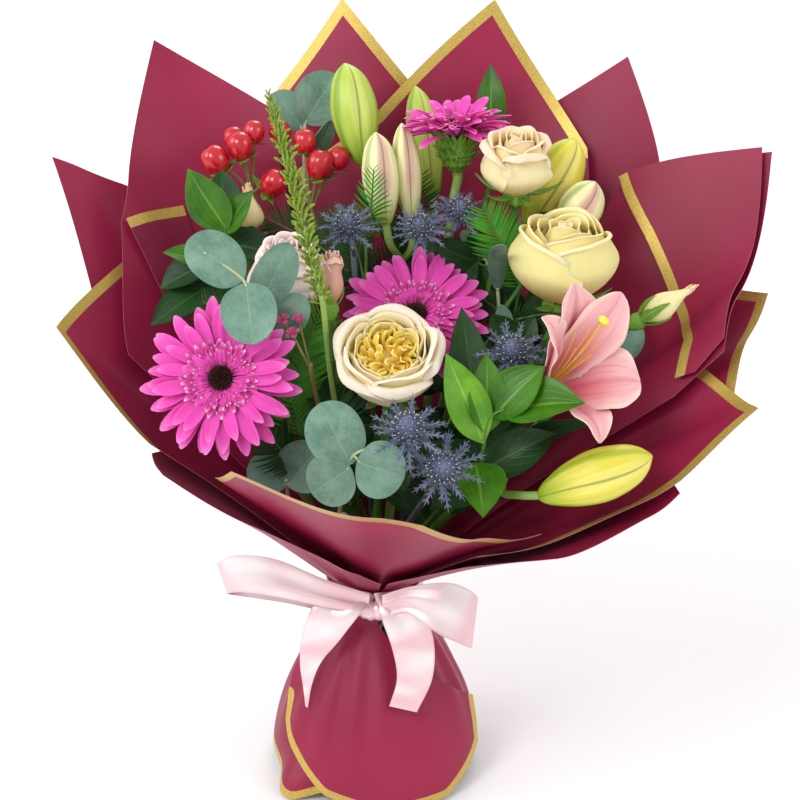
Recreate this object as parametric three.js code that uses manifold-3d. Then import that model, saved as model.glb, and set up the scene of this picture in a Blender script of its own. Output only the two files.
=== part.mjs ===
// A hand-tied mixed bouquet, wrapped in film and standing on its cut stems.
// Units are millimetres. The origin is on the table in the middle of the cut ends, +X to the
// right, -Y to the front and +Z up. Heads and leaves are placed on the bouquet's face, as
// [across, up, proud] seen from the spot in front that the bouquet is arranged for.
import * as THREE from "three";
import { mergeVertices } from "three/addons/utils/BufferGeometryUtils.js";
import Module from "manifold-3d";

const { Vector3, Matrix4, Vector2, BufferGeometry, BufferAttribute } = THREE;

// ---------------------------------------------------------------- driving dimensions
const tieHeight = 121.5; // the binding point above the table
const bundleRadius = 22; // all the stems together, at the tie
const footRadius = 50; // the circle that the cut ends stand in
const eyeDistance = 2000; // from the face to the spot it is arranged for
const eyeElevation = 25; // degrees above the table
const eyeAim = [16, 228]; // across and up of the point looked at
const stemSides = 5;
const stemLevels = 4; // levels between the table and the tie, and the same spacing above it
const stemClearance = 0.7;
const filmThickness = 0.8;
const filmGap = 1.4; // from one film layer to the next at the tie
const waistRadius = 26; // innermost film at the tie
const leafThickness = 1.4;
const ribbonThickness = 1;

const radians = THREE.MathUtils.degToRad;
const axisX = new Vector3(1, 0, 0);
const upFace = new Vector3(0, Math.sin(radians(eyeElevation)), Math.cos(radians(eyeElevation)));
const toEye = new Vector3(0, -Math.cos(radians(eyeElevation)), Math.sin(radians(eyeElevation)));
const flat = (across, up) => axisX.clone().multiplyScalar(across).addScaledVector(upFace, up);
const eye = flat(...eyeAim).addScaledVector(toEye, eyeDistance);

// A point of the face: proud moves it along its own line of sight.
const onFace = ([across, up, proud]) => flat(across, up).lerp(eye, proud / eyeDistance);

// A direction that is turned to the right and tipped up, in degrees, from facing the eye.
function facing([turn, tip]) {
  const level = Math.cos(radians(tip));
  return new Vector3()
    .addScaledVector(axisX, Math.sin(radians(turn)) * level)
    .addScaledVector(upFace, Math.sin(radians(tip)))
    .addScaledVector(toEye, Math.cos(radians(turn)) * level);
}

// ---------------------------------------------------------------- solids
const wasm = await Module();
wasm.setup();

function solidOf(geometry) {
  const bare = geometry.clone();
  for (const name of Object.keys(bare.attributes)) {
    if (name !== "position") bare.deleteAttribute(name);
  }
  const merged = mergeVertices(bare, 1e-3);
  const corners = [...merged.index.array];
  const faces = [];
  for (let i = 0; i < corners.length; i += 3) {
    const face = corners.slice(i, i + 3);
    if (new Set(face).size === 3) faces.push(face);
  }
  const build = (triangles) =>
    new wasm.Manifold(
      new wasm.Mesh({
        numProp: 3,
        vertProperties: merged.attributes.position.array,
        triVerts: new Uint32Array(triangles.flat()),
      }),
    );
  const solid = build(faces);
  return solid.volume() > 0 ? solid : build(faces.map(([a, b, c]) => [a, c, b]));
}

function joined(geometries) {
  const { vertProperties, triVerts } = geometries
    .map(solidOf)
    .reduce((whole, piece) => whole.add(piece))
    .getMesh();
  return new BufferGeometry()
    .setAttribute("position", new BufferAttribute(vertProperties, 3))
    .setIndex(new BufferAttribute(triVerts, 1));
}

function fromPoints(points, faces) {
  return new BufferGeometry().setFromPoints(points).setIndex(faces);
}

// A closed skin over rings of points, each ring with the same number of points.
function loft(rings) {
  const n = rings[0].length;
  const faces = [];
  for (let j = 0; j < rings.length - 1; j++) {
    for (let i = 0; i < n; i++) {
      const [a, b] = [j * n + i, j * n + ((i + 1) % n)];
      faces.push(a, b, b + n, a, b + n, a + n);
    }
  }
  const last = (rings.length - 1) * n;
  for (let i = 1; i < n - 1; i++) faces.push(0, i + 1, i, last, last + i, last + i + 1);
  return fromPoints(rings.flat(), faces);
}

// A thin sheet over a grid of points, thickness thick, half on either side of them.
function slab(grid, thickness) {
  const [rows, columns] = [grid.length, grid[0].length];
  const at = (j, i) => grid[Math.min(Math.max(j, 0), rows - 1)][Math.min(Math.max(i, 0), columns - 1)];
  const sides = [1, -1].map((side) =>
    grid.flatMap((row, j) =>
      row.map((point, i) => {
        const along = at(j + 1, i).clone().sub(at(j - 1, i));
        const over = at(j, i + 1).clone().sub(at(j, i - 1));
        return point.clone().addScaledVector(along.cross(over).normalize(), (side * thickness) / 2);
      }),
    ),
  );
  const [front, back] = [(j, i) => j * columns + i, (j, i) => rows * columns + j * columns + i];
  const faces = [];
  const quad = (a, b, c, d) => faces.push(a, b, c, a, c, d);
  for (let j = 0; j < rows - 1; j++) {
    for (let i = 0; i < columns - 1; i++) {
      quad(front(j, i), front(j, i + 1), front(j + 1, i + 1), front(j + 1, i));
      quad(back(j, i), back(j + 1, i), back(j + 1, i + 1), back(j, i + 1));
    }
    quad(front(j, 0), front(j + 1, 0), back(j + 1, 0), back(j, 0));
    quad(front(j + 1, columns - 1), front(j, columns - 1), back(j, columns - 1), back(j + 1, columns - 1));
  }
  for (let i = 0; i < columns - 1; i++) {
    quad(front(0, i + 1), front(0, i), back(0, i), back(0, i + 1));
    quad(front(rows - 1, i), front(rows - 1, i + 1), back(rows - 1, i + 1), back(rows - 1, i));
  }
  return fromPoints([...sides[0], ...sides[1]], faces);
}

const ring = (centre, u, v, ru, rv, count) =>
  Array.from({ length: count }, (_, i) => {
    const angle = (2 * Math.PI * i) / count;
    return centre
      .clone()
      .addScaledVector(u, ru * Math.cos(angle))
      .addScaledVector(v, rv * Math.sin(angle));
  });

// Two directions square to an axis; the first leans towards the given side.
function squareTo(axis, side) {
  const v = axis.clone().cross(side).normalize();
  return [v.clone().cross(axis).normalize(), v];
}

// A round twig along a smooth curve through the points.
function twig(points, radius, steps = 3, sides = 4) {
  const curve = new THREE.CatmullRomCurve3(points);
  const { normals, binormals } = curve.computeFrenetFrames(steps);
  return loft(
    normals.map((u, i) => ring(curve.getPointAt(i / steps), u, binormals[i], radius, radius, sides)),
  );
}

// A spindle from base to tip; the profile lists [share of length, share of width].
function spindle(base, tip, width, profile, sides = 8, thickness = width) {
  const axis = tip.clone().sub(base);
  const [u, v] = squareTo(axis.clone().normalize(), toEye);
  return loft(
    profile.map(([along, share]) => {
      const centre = base.clone().addScaledVector(axis, along);
      return ring(centre, u, v, (share * thickness) / 2, (share * width) / 2, sides);
    }),
  );
}

// A leaf blade from base to tip, its upper side turned to face and arched along its length.
const leafShapes = {
  round: [[0, 0.12], [0.16, 0.8], [0.45, 1], [0.8, 0.74], [1, 0.16]],
  pointed: [[0, 0.1], [0.18, 0.7], [0.42, 1], [0.75, 0.6], [1, 0.05]],
};
const leafBow = 0.08; // height of the arch, as a share of the leaf's length

function leaf([base, tip], width, face, shape = "round") {
  const [from, to] = [onFace(base), onFace(tip)];
  const axis = to.clone().sub(from);
  const [normal, over] = squareTo(axis.clone().normalize(), facing(face));
  const arch = (t) => Math.sin(Math.PI * t) * leafBow * axis.length();
  return loft(
    leafShapes[shape].map(([along, share]) =>
      ring(
        from.clone().addScaledVector(axis, along).addScaledVector(normal, arch(along)),
        normal,
        over,
        leafThickness / 2,
        (share * width) / 2,
        4,
      ),
    ),
  );
}

// A turned shape whose axis points along the given direction from its base point.
const seamSide = new Vector3(0.9, 0.1, 0.4); // where the turned shapes have their first column

function turned(profile, sides, base, axis) {
  const shape = new THREE.LatheGeometry(profile.map(([r, y]) => new Vector2(r, y)), sides);
  const [u, v] = squareTo(axis, seamSide);
  return shape.applyMatrix4(new Matrix4().makeBasis(u, axis, v.negate()).setPosition(base));
}

// ---------------------------------------------------------------- flower heads
// Each head maker gives its solids, the neck that its stem runs up to, the end of the stem just
// inside the head, and round places that other stems keep away from.
const behind = (centre, axis, distance) => centre.clone().addScaledVector(axis, -distance);
const stemEnd = 3; // how far a stem runs on past its neck or into its head

const gerberaDepth = 14; // from the calyx to the middle of the face
const gerberaNeck = 14; // straight stem behind the calyx
const gerberaColumns = 24;
const petalFoot = 10; // height above the calyx at which the petals leave the bowl
const petalRing = 2.5; // thickness of the ring of petals at its rim
const rimRows = [4, 5]; // profile points on the rim
const notch = 0.9; // radius between two petal tips, as a share of the radius at the tips
const gerberaClearance = 0.5; // share of the radius that other stems keep away from

// Profiles are [radius, height] from the stem's end.
function gerbera({ at, face, radius, cup = 5 }) {
  const [centre, axis] = [onFace(at), facing(face)];
  const base = behind(centre, axis, gerberaDepth);
  const profile = [
    [0, 0], [6, 1], [13, 7], [radius * 0.55, petalFoot],
    [radius, petalFoot + cup], [radius, petalFoot + cup + petalRing],
    [radius * 0.5, gerberaDepth], [12, gerberaDepth + 2], [0, gerberaDepth + 1],
  ];
  const head = turned(profile, gerberaColumns, base, axis);
  const position = head.attributes.position;
  const point = new Vector3();
  for (let i = 0; i < position.count; i++) {
    const [column, row] = [Math.floor(i / profile.length), i % profile.length];
    if (!rimRows.includes(row) || column % 2 === 0) continue;
    point.fromBufferAttribute(position, i).sub(base);
    const along = point.dot(axis);
    point.addScaledVector(axis, -along).multiplyScalar(notch).addScaledVector(axis, along).add(base);
    position.setXYZ(i, point.x, point.y, point.z);
  }
  return {
    solids: [head],
    neck: behind(base, axis, gerberaNeck),
    end: behind(base, axis, -stemEnd),
    obstacles: [[behind(centre, axis, 4), radius * gerberaClearance]],
  };
}

const roseDepth = 1.45; // depth of a rose head as a share of its radius
const roseNeck = 12;
const roseColumns = 12;
const roseShape = [ // [share of the radius, share of the depth]
  [0, 0], [0.42, 0.06], [0.84, 0.32], [1, 0.66], [0.97, 0.86], [0.78, 0.97], [0.4, 0.95], [0, 0.9],
];

function rose({ at, face, radius, depth = radius * roseDepth }) {
  const [centre, axis] = [onFace(at), facing(face)];
  const base = behind(centre, axis, depth);
  const profile = roseShape.map(([wide, deep]) => [radius * wide, depth * deep]);
  return {
    solids: [turned(profile, roseColumns, base, axis)],
    neck: behind(base, axis, roseNeck),
    end: behind(base, axis, -stemEnd),
    obstacles: [[behind(centre, axis, depth * 0.4), radius]],
  };
}

const budNeck = 8;
const budClearance = 0.7; // share of the bud's width
const budShape = [[0, 0.3], [0.12, 0.62], [0.38, 0.98], [0.65, 1], [0.88, 0.66], [1, 0.16]];

function roseBud({ from, to, width }) {
  const [base, tip] = [onFace(from), onFace(to)];
  const axis = tip.clone().sub(base).normalize();
  return {
    solids: [spindle(base, tip, width, budShape, 10)],
    neck: behind(base, axis, budNeck),
    end: behind(base, axis, -stemEnd),
    obstacles: [[base.clone().lerp(tip, 0.5), width * budClearance]],
  };
}

const lilyBudShape = [[0, 0.22], [0.08, 0.5], [0.3, 0.84], [0.6, 1], [0.85, 0.74], [1, 0.2]];
const lilyTubeShape = [[0, 0.35], [0.5, 0.7], [1, 1]];
const lilyTubeWidth = 17;
const lilyTubeRise = 6; // how far the tube reaches into the open flower
const lilyTwig = 2.1; // radius
const bloomClearance = 24;

// A lily stem forks into short twigs, each with a bud or the open flower.
function lily({ fork, buds, bloom }) {
  const base = onFace(fork);
  const solids = [];
  const obstacles = [];
  for (const { from, to, width } of buds) {
    const [foot, tip] = [onFace(from), onFace(to)];
    solids.push(spindle(foot, tip, width, lilyBudShape, 6));
    const axis = tip.clone().sub(foot);
    const bend = foot.clone().addScaledVector(axis, -0.16).lerp(base, 0.15);
    solids.push(twig([base, bend, foot.clone().addScaledVector(axis, 0.05)], lilyTwig));
    obstacles.push([foot.clone().lerp(tip, 0.5), width]);
  }
  if (bloom) {
    const throat = onFace(bloom.at);
    const axis = facing(bloom.face);
    const tail = throat.clone().addScaledVector(axis, -bloom.tube);
    const mouth = throat.clone().addScaledVector(axis, lilyTubeRise);
    solids.push(spindle(tail, mouth, lilyTubeWidth, lilyTubeShape));
    for (const [to, width, curl] of bloom.petals) {
      solids.push(petal(throat, axis, onFace(to), width, curl));
    }
    solids.push(twig([base, tail.clone().addScaledVector(axis, 1)], lilyTwig, 2));
    obstacles.push([throat, bloomClearance]);
  }
  return { solids, neck: base, end: base.clone().addScaledVector(upFace, stemEnd), obstacles };
}

// A petal leaves the throat along the axis and bends out to its tip.
const petalShape = [0.34, 0.62, 0.92, 1, 0.74, 0.12]; // shares of its width, evenly along it

function petal(throat, axis, tip, width, curl) {
  const outward = tip.clone().sub(throat);
  const bend = throat.clone().addScaledVector(outward, 0.45).addScaledVector(axis, curl);
  const curve = new THREE.QuadraticBezierCurve3(throat.clone().addScaledVector(axis, -3), bend, tip);
  return loft(
    petalShape.map((share, i) => {
      const t = i / (petalShape.length - 1);
      const [normal, over] = squareTo(curve.getTangent(t).normalize(), axis);
      return ring(curve.getPoint(t), normal, over, leafThickness / 2, (share * width) / 2, 4);
    }),
  );
}

const berryTwig = 1.2; // radius
const berryBow = 0.08; // rise of the twig's middle as a share of its length

function berries({ fork, berries: list }) {
  const base = onFace(fork);
  const solids = [];
  for (const [at, radius] of list) {
    const centre = onFace(at);
    const rise = centre.distanceTo(base) * berryBow;
    const middle = base.clone().lerp(centre, 0.5).addScaledVector(upFace, rise);
    solids.push(new THREE.IcosahedronGeometry(radius, 1).translate(...centre.toArray()));
    solids.push(twig([base, middle, centre], berryTwig, 2));
  }
  return {
    solids,
    neck: base,
    end: base.clone().addScaledVector(upFace, stemEnd),
    obstacles: list.map(([at, radius]) => [onFace(at), radius]),
  };
}

// A sea holly head: a bristly cone on a ruff of spiny bracts.
const hollyTwig = 1.4; // radius
const hollyBend = 10; // the twig runs straight for this length behind the head
const hollyColumns = 10;
const hollyClearance = 1.3;

function seaHolly({ fork, heads }) {
  const base = onFace(fork);
  const solids = [];
  const obstacles = [];
  for (const { at, face, radius, ruff } of heads) {
    const [centre, axis] = [onFace(at), facing(face)];
    const foot = centre.clone().addScaledVector(axis, -radius);
    const profile = [
      [0, 0], [radius * 0.7, 0.5], [ruff, 2.4], [ruff, 3.6], [radius * 0.95, 4.5],
      [radius, radius], [radius * 0.72, radius * 1.75], [0, radius * 2.1],
    ];
    solids.push(turned(profile, hollyColumns, foot, axis));
    const bend = foot.clone().addScaledVector(axis, -hollyBend);
    solids.push(twig([base, bend, foot.clone().addScaledVector(axis, 1.5)], hollyTwig));
    obstacles.push([centre, radius * hollyClearance]);
  }
  return { solids, neck: base, end: base.clone().addScaledVector(upFace, stemEnd), obstacles };
}

const ahead = (from, towards) => from.clone().add(towards.clone().sub(from).setLength(stemEnd));

// A leafy sprig: a stalk through its points, with blades on short leaf stalks along it.
const sprigStalk = 1.3; // radius
const leafStalk = 1; // radius
const joints = 12; // places along the stalk where a leaf stalk can start

function sprig({ stalk, leaves, shape }) {
  const points = stalk.map(onFace);
  const along = new THREE.CatmullRomCurve3(points).getPoints(joints);
  const solids = [twig(points, sprigStalk, points.length)];
  for (const [from, to, width, face] of leaves) {
    const foot = onFace(from);
    const nearest = along.reduce((best, point) =>
      point.distanceTo(foot) < best.distanceTo(foot) ? point : best,
    );
    solids.push(leaf([from, to], width, face, shape));
    solids.push(twig([nearest, ahead(foot, onFace(to))], leafStalk, 1));
  }
  return { solids, neck: points[0], end: ahead(points[0], points[1]), obstacles: [] };
}

// A feathery frond or a spike of side buds, as one slender closed form.
const spikeShape = [0.14, 0.62, 0.95, 1, 0.82, 0.5, 0.12]; // shares of its width, evenly along it
const spikeRoot = 0.06; // the stem's end, as a share of the way along

function spike({ stalk, width, thick }) {
  const curve = new THREE.CatmullRomCurve3(stalk.map(onFace));
  const solid = loft(
    spikeShape.map((share, i) => {
      const t = i / (spikeShape.length - 1);
      const [normal, over] = squareTo(curve.getTangentAt(t), toEye);
      return ring(curve.getPointAt(t), normal, over, (share * thick) / 2, (share * width) / 2, 6);
    }),
  );
  return { solids: [solid], neck: curve.getPoint(0), end: curve.getPointAt(spikeRoot), obstacles: [] };
}

// ---------------------------------------------------------------- the grown pieces
// Places are [across, up, proud], and the faces' turns are in degrees.
const bud = (from, to, width) => ({ from, to, width });

const plants = [
  { name: "gerbera_left", head: gerbera, stem: 3, at: [-100, 242, 200], face: [-6, 4], radius: 47 },
  { name: "gerbera_middle", head: gerbera, stem: 3, at: [26, 283, 138], face: [0, 28], radius: 46 },
  { name: "gerbera_top", head: gerbera, stem: 2.8, at: [55, 411, 112], face: [0, 92], radius: 35, cup: 14 },
  { name: "rose_garden", head: rose, stem: 2.8, at: [8, 266, 214], face: [0, 36], radius: 33.5, depth: 42 },
  { name: "rose_pale_pink", head: rose, stem: 2.8, at: [-58, 330, 160], face: [-5, 52], radius: 30 },
  { name: "rose_cream_top", head: rose, stem: 2.8, at: [92, 397, 150], face: [0, 58], radius: 26 },
  {
    name: "rose_cream_right", head: rose, stem: 2.8,
    at: [123, 341, 165], face: [4, 60], radius: 34, depth: 51,
  },
  {
    name: "rose_dusty_bud", head: roseBud, stem: 2.4,
    from: [-29, 289, 190], to: [-28, 324, 198], width: 20,
  },
  {
    name: "rose_small_bud", head: roseBud, stem: 2.2,
    from: [172, 280, 152], to: [208, 302, 165], width: 22,
  },
  {
    name: "rose_back_bud", head: roseBud, stem: 2.4,
    from: [-85, 336, 105], to: [-83, 368, 112], width: 30,
  },
  {
    name: "lily_tall", head: lily, stem: 3.2, fork: [18, 318, 100],
    buds: [
      bud([-7, 380, 96], [-20, 447, 98], 29),
      bud([7, 341, 122], [0, 402, 128], 23),
      bud([24, 341, 112], [17, 408, 117], 18),
      bud([38, 358, 60], [26, 432, 62], 22),
    ],
  },
  {
    name: "lily_right", head: lily, stem: 3, fork: [104, 302, 92],
    buds: [bud([100, 338, 100], [130, 398, 100], 32), bud([122, 334, 118], [143, 370, 122], 27)],
  },
  {
    name: "lily_open", head: lily, stem: 3.2, fork: [92, 196, 150],
    buds: [bud([106, 165, 196], [180, 192, 200], 32)],
    bloom: {
      at: [113, 236, 196], face: [45, 22], tube: 30,
      petals: [
        [[133, 306, 214], 30, 20], [[164, 300, 206], 26, 14], [[176, 242, 196], 36, 16],
        [[150, 202, 222], 26, 18], [[112, 284, 236], 20, 22],
      ],
    },
  },
  {
    name: "hypericum_left", head: berries, stem: 2, fork: [-80, 362, 84],
    berries: [
      [[-104, 384, 96], 9], [[-88, 393, 96], 8.6], [[-79, 402, 90], 7], [[-92, 398, 84], 7],
      [[-66, 369, 100], 8.6],
    ],
  },
  {
    name: "hypericum_top", head: berries, stem: 2, fork: [-42, 352, 92],
    berries: [[[-46, 396, 100], 7.4], [[-36, 381, 104], 9], [[-24, 385, 100], 7], [[-62, 402, 84], 7.4]],
  },
  {
    name: "sea_holly_left", head: seaHolly, stem: 2, fork: [-14, 322, 116],
    heads: [{ at: [-18, 343, 156], face: [-10, 40], radius: 8, ruff: 15 }],
  },
  {
    name: "sea_holly_top", head: seaHolly, stem: 2, fork: [34, 341, 100],
    heads: [
      { at: [29, 341, 150], face: [-10, 30], radius: 7.5, ruff: 14 },
      { at: [55, 352, 138], face: [10, 40], radius: 7.5, ruff: 14 },
    ],
  },
  {
    name: "sea_holly_right", head: seaHolly, stem: 2, fork: [84, 236, 165],
    heads: [{ at: [89, 261, 196], face: [0, 30], radius: 9, ruff: 16 }],
  },
  {
    name: "sea_holly_front", head: seaHolly, stem: 2, fork: [38, 172, 196],
    heads: [
      { at: [21, 210, 246], face: [-5, 30], radius: 9.5, ruff: 18 },
      { at: [44, 184, 238], face: [5, 10], radius: 9.5, ruff: 18 },
    ],
  },
  {
    name: "eucalyptus_top", head: sprig, stem: 1.8, stalk: [[-46, 366, 66], [-46, 402, 72], [-42, 432, 74]],
    leaves: [
      [[-46, 408, 74], [-26, 440, 80], 30, [8, 12]], [[-47, 404, 72], [-66, 428, 70], 20, [-20, 30]],
      [[-45, 384, 72], [-28, 410, 78], 14, [50, 10]],
    ],
  },
  {
    name: "eucalyptus_left", head: sprig, stem: 1.8,
    stalk: [[-66, 258, 164], [-76, 284, 188], [-86, 306, 204], [-112, 324, 210]],
    leaves: [
      [[-86, 306, 204], [-122, 332, 210], 29, [-10, 20]], [[-84, 304, 206], [-80, 264, 222], 31, [0, 10]],
      [[-76, 290, 188], [-56, 330, 208], 24, [20, 16]], [[-68, 270, 178], [-46, 296, 192], 22, [20, 10]],
    ],
  },
  {
    name: "eucalyptus_front", head: sprig, stem: 1.8,
    stalk: [[-24, 150, 192], [-20, 176, 214], [-14, 192, 226], [2, 198, 232]],
    leaves: [
      [[-16, 186, 224], [-36, 226, 228], 32, [-6, 10]], [[-16, 184, 224], [-42, 168, 226], 30, [-8, -6]],
      [[-12, 188, 228], [19, 178, 233], 32, [6, -8]],
    ],
  },
  {
    name: "eucalyptus_right", head: sprig, stem: 1.6,
    stalk: [[76, 268, 104], [80, 286, 116], [78, 306, 120], [70, 322, 118]],
    leaves: [
      [[79.5, 299, 131], [81, 329, 192], 11, [-10, 60]], [[82, 290, 124], [84, 260, 128], 12, [20, 10]],
      [[70, 322, 118], [56, 338, 114], 9, [0, 10]],
    ],
  },
  {
    name: "eucalyptus_far_right", head: sprig, stem: 1.6, stalk: [[140, 240, 110], [150, 256, 118]],
    leaves: [[[149, 254, 118], [168, 282, 124], 28, [10, 10]]],
  },
  {
    name: "eucalyptus_low", head: sprig, stem: 1.6, stalk: [[-56, 158, 136], [-58, 176, 158]],
    leaves: [
      [[-57, 172, 156], [-36, 198, 168], 30, [0, 10]], [[-58, 172, 154], [-80, 190, 160], 26, [-10, 10]],
    ],
  },
  {
    name: "ruscus_top", head: sprig, stem: 1.6, shape: "pointed", stalk: [[76, 376, 56], [75, 398, 60]],
    leaves: [[[75, 396, 60], [75, 446, 64], 18, [0, 14]]],
  },
  {
    name: "ruscus_left", head: sprig, stem: 1.6, shape: "pointed",
    stalk: [[-104, 300, 104], [-104, 322, 122], [-96, 340, 128]],
    leaves: [
      [[-96, 338, 128], [-122, 378, 136], 24, [-20, 14]], [[-98, 336, 126], [-80, 364, 134], 17, [10, 40]],
      [[-106, 314, 116], [-138, 324, 128], 18, [-20, 40]],
    ],
  },
  {
    name: "ruscus_right", head: sprig, stem: 1.6, shape: "pointed",
    stalk: [[66, 168, 168], [70, 196, 196], [74, 216, 206], [84, 222, 210]],
    leaves: [
      [[70, 200, 200], [46, 258, 214], 24, [-10, 30]], [[72, 206, 202], [72, 258, 206], 22, [10, 20]],
      [[76, 216, 206], [110, 250, 212], 28, [10, 40]], [[82, 220, 208], [136, 226, 224], 32, [6, 40]],
      [[68, 182, 184], [76, 158, 226], 26, [6, 6]],
    ],
  },
  {
    name: "fern_left", head: spike, stem: 1.5, width: 30, thick: 3,
    stalk: [[-49, 206, 156], [-53, 238, 163], [-42, 284, 170]],
  },
  {
    name: "fern_top", head: spike, stem: 1.5, width: 28, thick: 3,
    stalk: [[94, 302, 123], [83, 326, 132], [72, 348, 139]],
  },
  {
    name: "fern_back", head: spike, stem: 1.5, width: 18, thick: 3,
    stalk: [[-6, 332, 112], [-3, 350, 138], [-1, 376, 146]],
  },
  {
    name: "goldenrod", head: spike, stem: 1.8, width: 15, thick: 12,
    stalk: [[-34, 290, 206], [-44, 330, 212], [-56, 382, 188], [-69, 426, 170]],
  },
  {
    name: "waxflower", head: berries, stem: 1.4, fork: [-42, 248, 188],
    berries: [[[-60, 280, 198], 4.5], [[-54, 271, 200], 4.5], [[-50, 281, 192], 4]],
  },
].map((plant) => ({ ...plant, ...plant.head(plant) }));

// ---------------------------------------------------------------- the spiral of stems
// Every stem has a place on the same levels. It starts as a straight line from its head past
// the tie to its foot, and neighbours then push each other apart until they only just clear.
const levelStep = tieHeight / stemLevels;
const relaxRounds = 900;
const spiralTurn = 70; // degrees from a head round to its stem's place in the tie
const widestHead = 150;
const neckLevelRadius = 29; // all the stems, one level above and one level below the tie
const centralStem = "rose_garden";
const evenOut = 0.06; // share by which each round draws a stem towards a smooth line
const evenOutHigh = 0.03; // the same among the heads

const levelOf = (point) => new Vector2(point.x, point.y);

function startStem({ name, stem, neck, end, obstacles }) {
  const atHead = levelOf(neck);
  const reach = Math.min(atHead.length() / widestHead, 1) * (bundleRadius - stem);
  const atTie = atHead.clone().rotateAround(new Vector2(), radians(-spiralTurn)).setLength(reach);
  const beyond = tieHeight / (neck.z - tieHeight);
  const atTable = atTie.clone().lerp(atHead, -beyond).clampLength(0, footRadius - stem);
  const path = [];
  for (let z = 0; z < neck.z - levelStep / 3; z += levelStep) {
    const share = (z - tieHeight) / (neck.z - tieHeight);
    const below = atTie.clone().lerp(atTable, 1 - z / tieHeight);
    path.push(share < 0 ? below : atTie.clone().lerp(atHead, share));
  }
  if (name === centralStem) path[0].set(0, 0);
  return { name, radius: stem, path, neck, end, obstacles };
}

function radiusLimit(level) {
  const beside = Math.abs(level - stemLevels);
  if (beside === 0) return bundleRadius;
  if (beside === 1) return neckLevelRadius;
  return level < stemLevels
    ? THREE.MathUtils.lerp(neckLevelRadius, footRadius, (beside - 1) / (stemLevels - 1))
    : Infinity;
}

function pushApart(one, other) {
  const shared = Math.min(one.path.length, other.path.length) - 1;
  for (let j = 0; j < shared; j++) {
    const from = other.path[j].clone().sub(one.path[j]);
    const change = other.path[j + 1].clone().sub(one.path[j + 1]).sub(from);
    const t = THREE.MathUtils.clamp(-from.dot(change) / (change.lengthSq() + 1e-9), 0, 1);
    const gap = from.addScaledVector(change, t);
    const short = one.radius + other.radius + stemClearance - gap.length();
    if (short <= 0) continue;
    const push = gap.setLength(short / 2);
    one.path[j].addScaledVector(push, t - 1);
    one.path[j + 1].addScaledVector(push, -t);
    other.path[j].addScaledVector(push, 1 - t);
    other.path[j + 1].addScaledVector(push, t);
  }
}

function keepClear(stem, others) {
  for (const other of others) {
    if (other === stem) continue;
    for (const [centre, radius] of other.obstacles) {
      stem.path.forEach((place, level) => {
        const rise = level * levelStep - centre.z;
        const away = place.clone().sub(levelOf(centre));
        const needed = Math.sqrt(Math.max(radius * radius - rise * rise, 0)) + stem.radius;
        if (Math.abs(rise) >= radius || away.length() >= needed) return;
        place.add(away.setLength(needed - away.length()));
      });
    }
  }
}

function relax(stems) {
  const firstHeadLevel = stemLevels + 2;
  for (let round = 0; round < relaxRounds; round++) {
    for (const stem of stems) {
      const { path, neck } = stem;
      for (let j = 1; j < path.length; j++) {
        const above = path[j + 1] ?? levelOf(neck);
        const middle = path[j - 1].clone().add(above).divideScalar(2);
        path[j].lerp(middle, j > firstHeadLevel ? evenOutHigh : evenOut);
      }
      keepClear(stem, stems);
    }
    for (let a = 0; a < stems.length; a++) {
      for (let b = a + 1; b < stems.length; b++) pushApart(stems[a], stems[b]);
    }
    for (const { name, path, radius } of stems) {
      path.forEach((place, level) => place.clampLength(0, radiusLimit(level) - radius));
      if (name === centralStem) path[0].set(0, 0);
    }
  }
  return stems;
}

const stems = relax(plants.map(startStem));

function stemSolid({ radius, path, neck, end }) {
  const [level, away] = [axisX, new Vector3(0, 1, 0)];
  const rings = path.map(({ x, y }, j) =>
    ring(new Vector3(x, y, j * levelStep), level, away, radius, radius, stemSides),
  );
  rings.push(ring(neck, level, away, radius, radius, stemSides));
  const [u, v] = squareTo(end.clone().sub(neck).normalize(), level);
  rings.push(ring(end, u, v, radius * 0.9, radius * 0.9, stemSides));
  return loft(rings);
}

// ---------------------------------------------------------------- the film
// The film leans outwards from the tie by an angle that changes round the bouquet. Azimuths
// are in degrees from the right, counted to the back; slants are lengths up the film from
// the waist, and drops are heights down from the waist to the hem of the skirt.
const filmLean = [
  [-90, 52], [-65, 57], [-45, 61], [-30, 60], [-15, 55], [0, 48], [30, 36], [90, 22],
  [150, 35], [180, 44], [210, 46], [240, 48], [270, 52],
];
const leanPerLayer = 2.5;
const leanAtWaist = 0.86; // share of the lean where the film leaves the waist
const leanSettles = 140; // slant by which the film has its whole lean
const waistTop = 135;
const waistBottom = 108;
const hemClearance = 1; // the lowest hem above the table
const tuckBottom = 119; // where the sheets without a skirt end, under the ribbon
const columnStep = 15; // degrees
const cupSteps = 8; // short straight pieces that a slant is made of
const cupRows = [0, 0.12, 0.5, 1]; // rows of points up a sheet, as shares of its slant
const skirtRows = [0.25, 0.5, 0.75, 1]; // rows down a skirt, as shares of its drop

function leanAt(azimuth) {
  const angle = THREE.MathUtils.euclideanModulo(azimuth + 90, 360) - 90;
  const next = filmLean.findIndex(([end]) => angle <= end);
  const [[from, low], [to, high]] = [filmLean[Math.max(next - 1, 0)], filmLean[Math.max(next, 1)]];
  return THREE.MathUtils.lerp(low, high, THREE.MathUtils.smoothstep(angle, from, to));
}

const around = (azimuth, radius, z) =>
  new Vector3(radius * Math.cos(radians(azimuth)), radius * Math.sin(radians(azimuth)), z);

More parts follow.
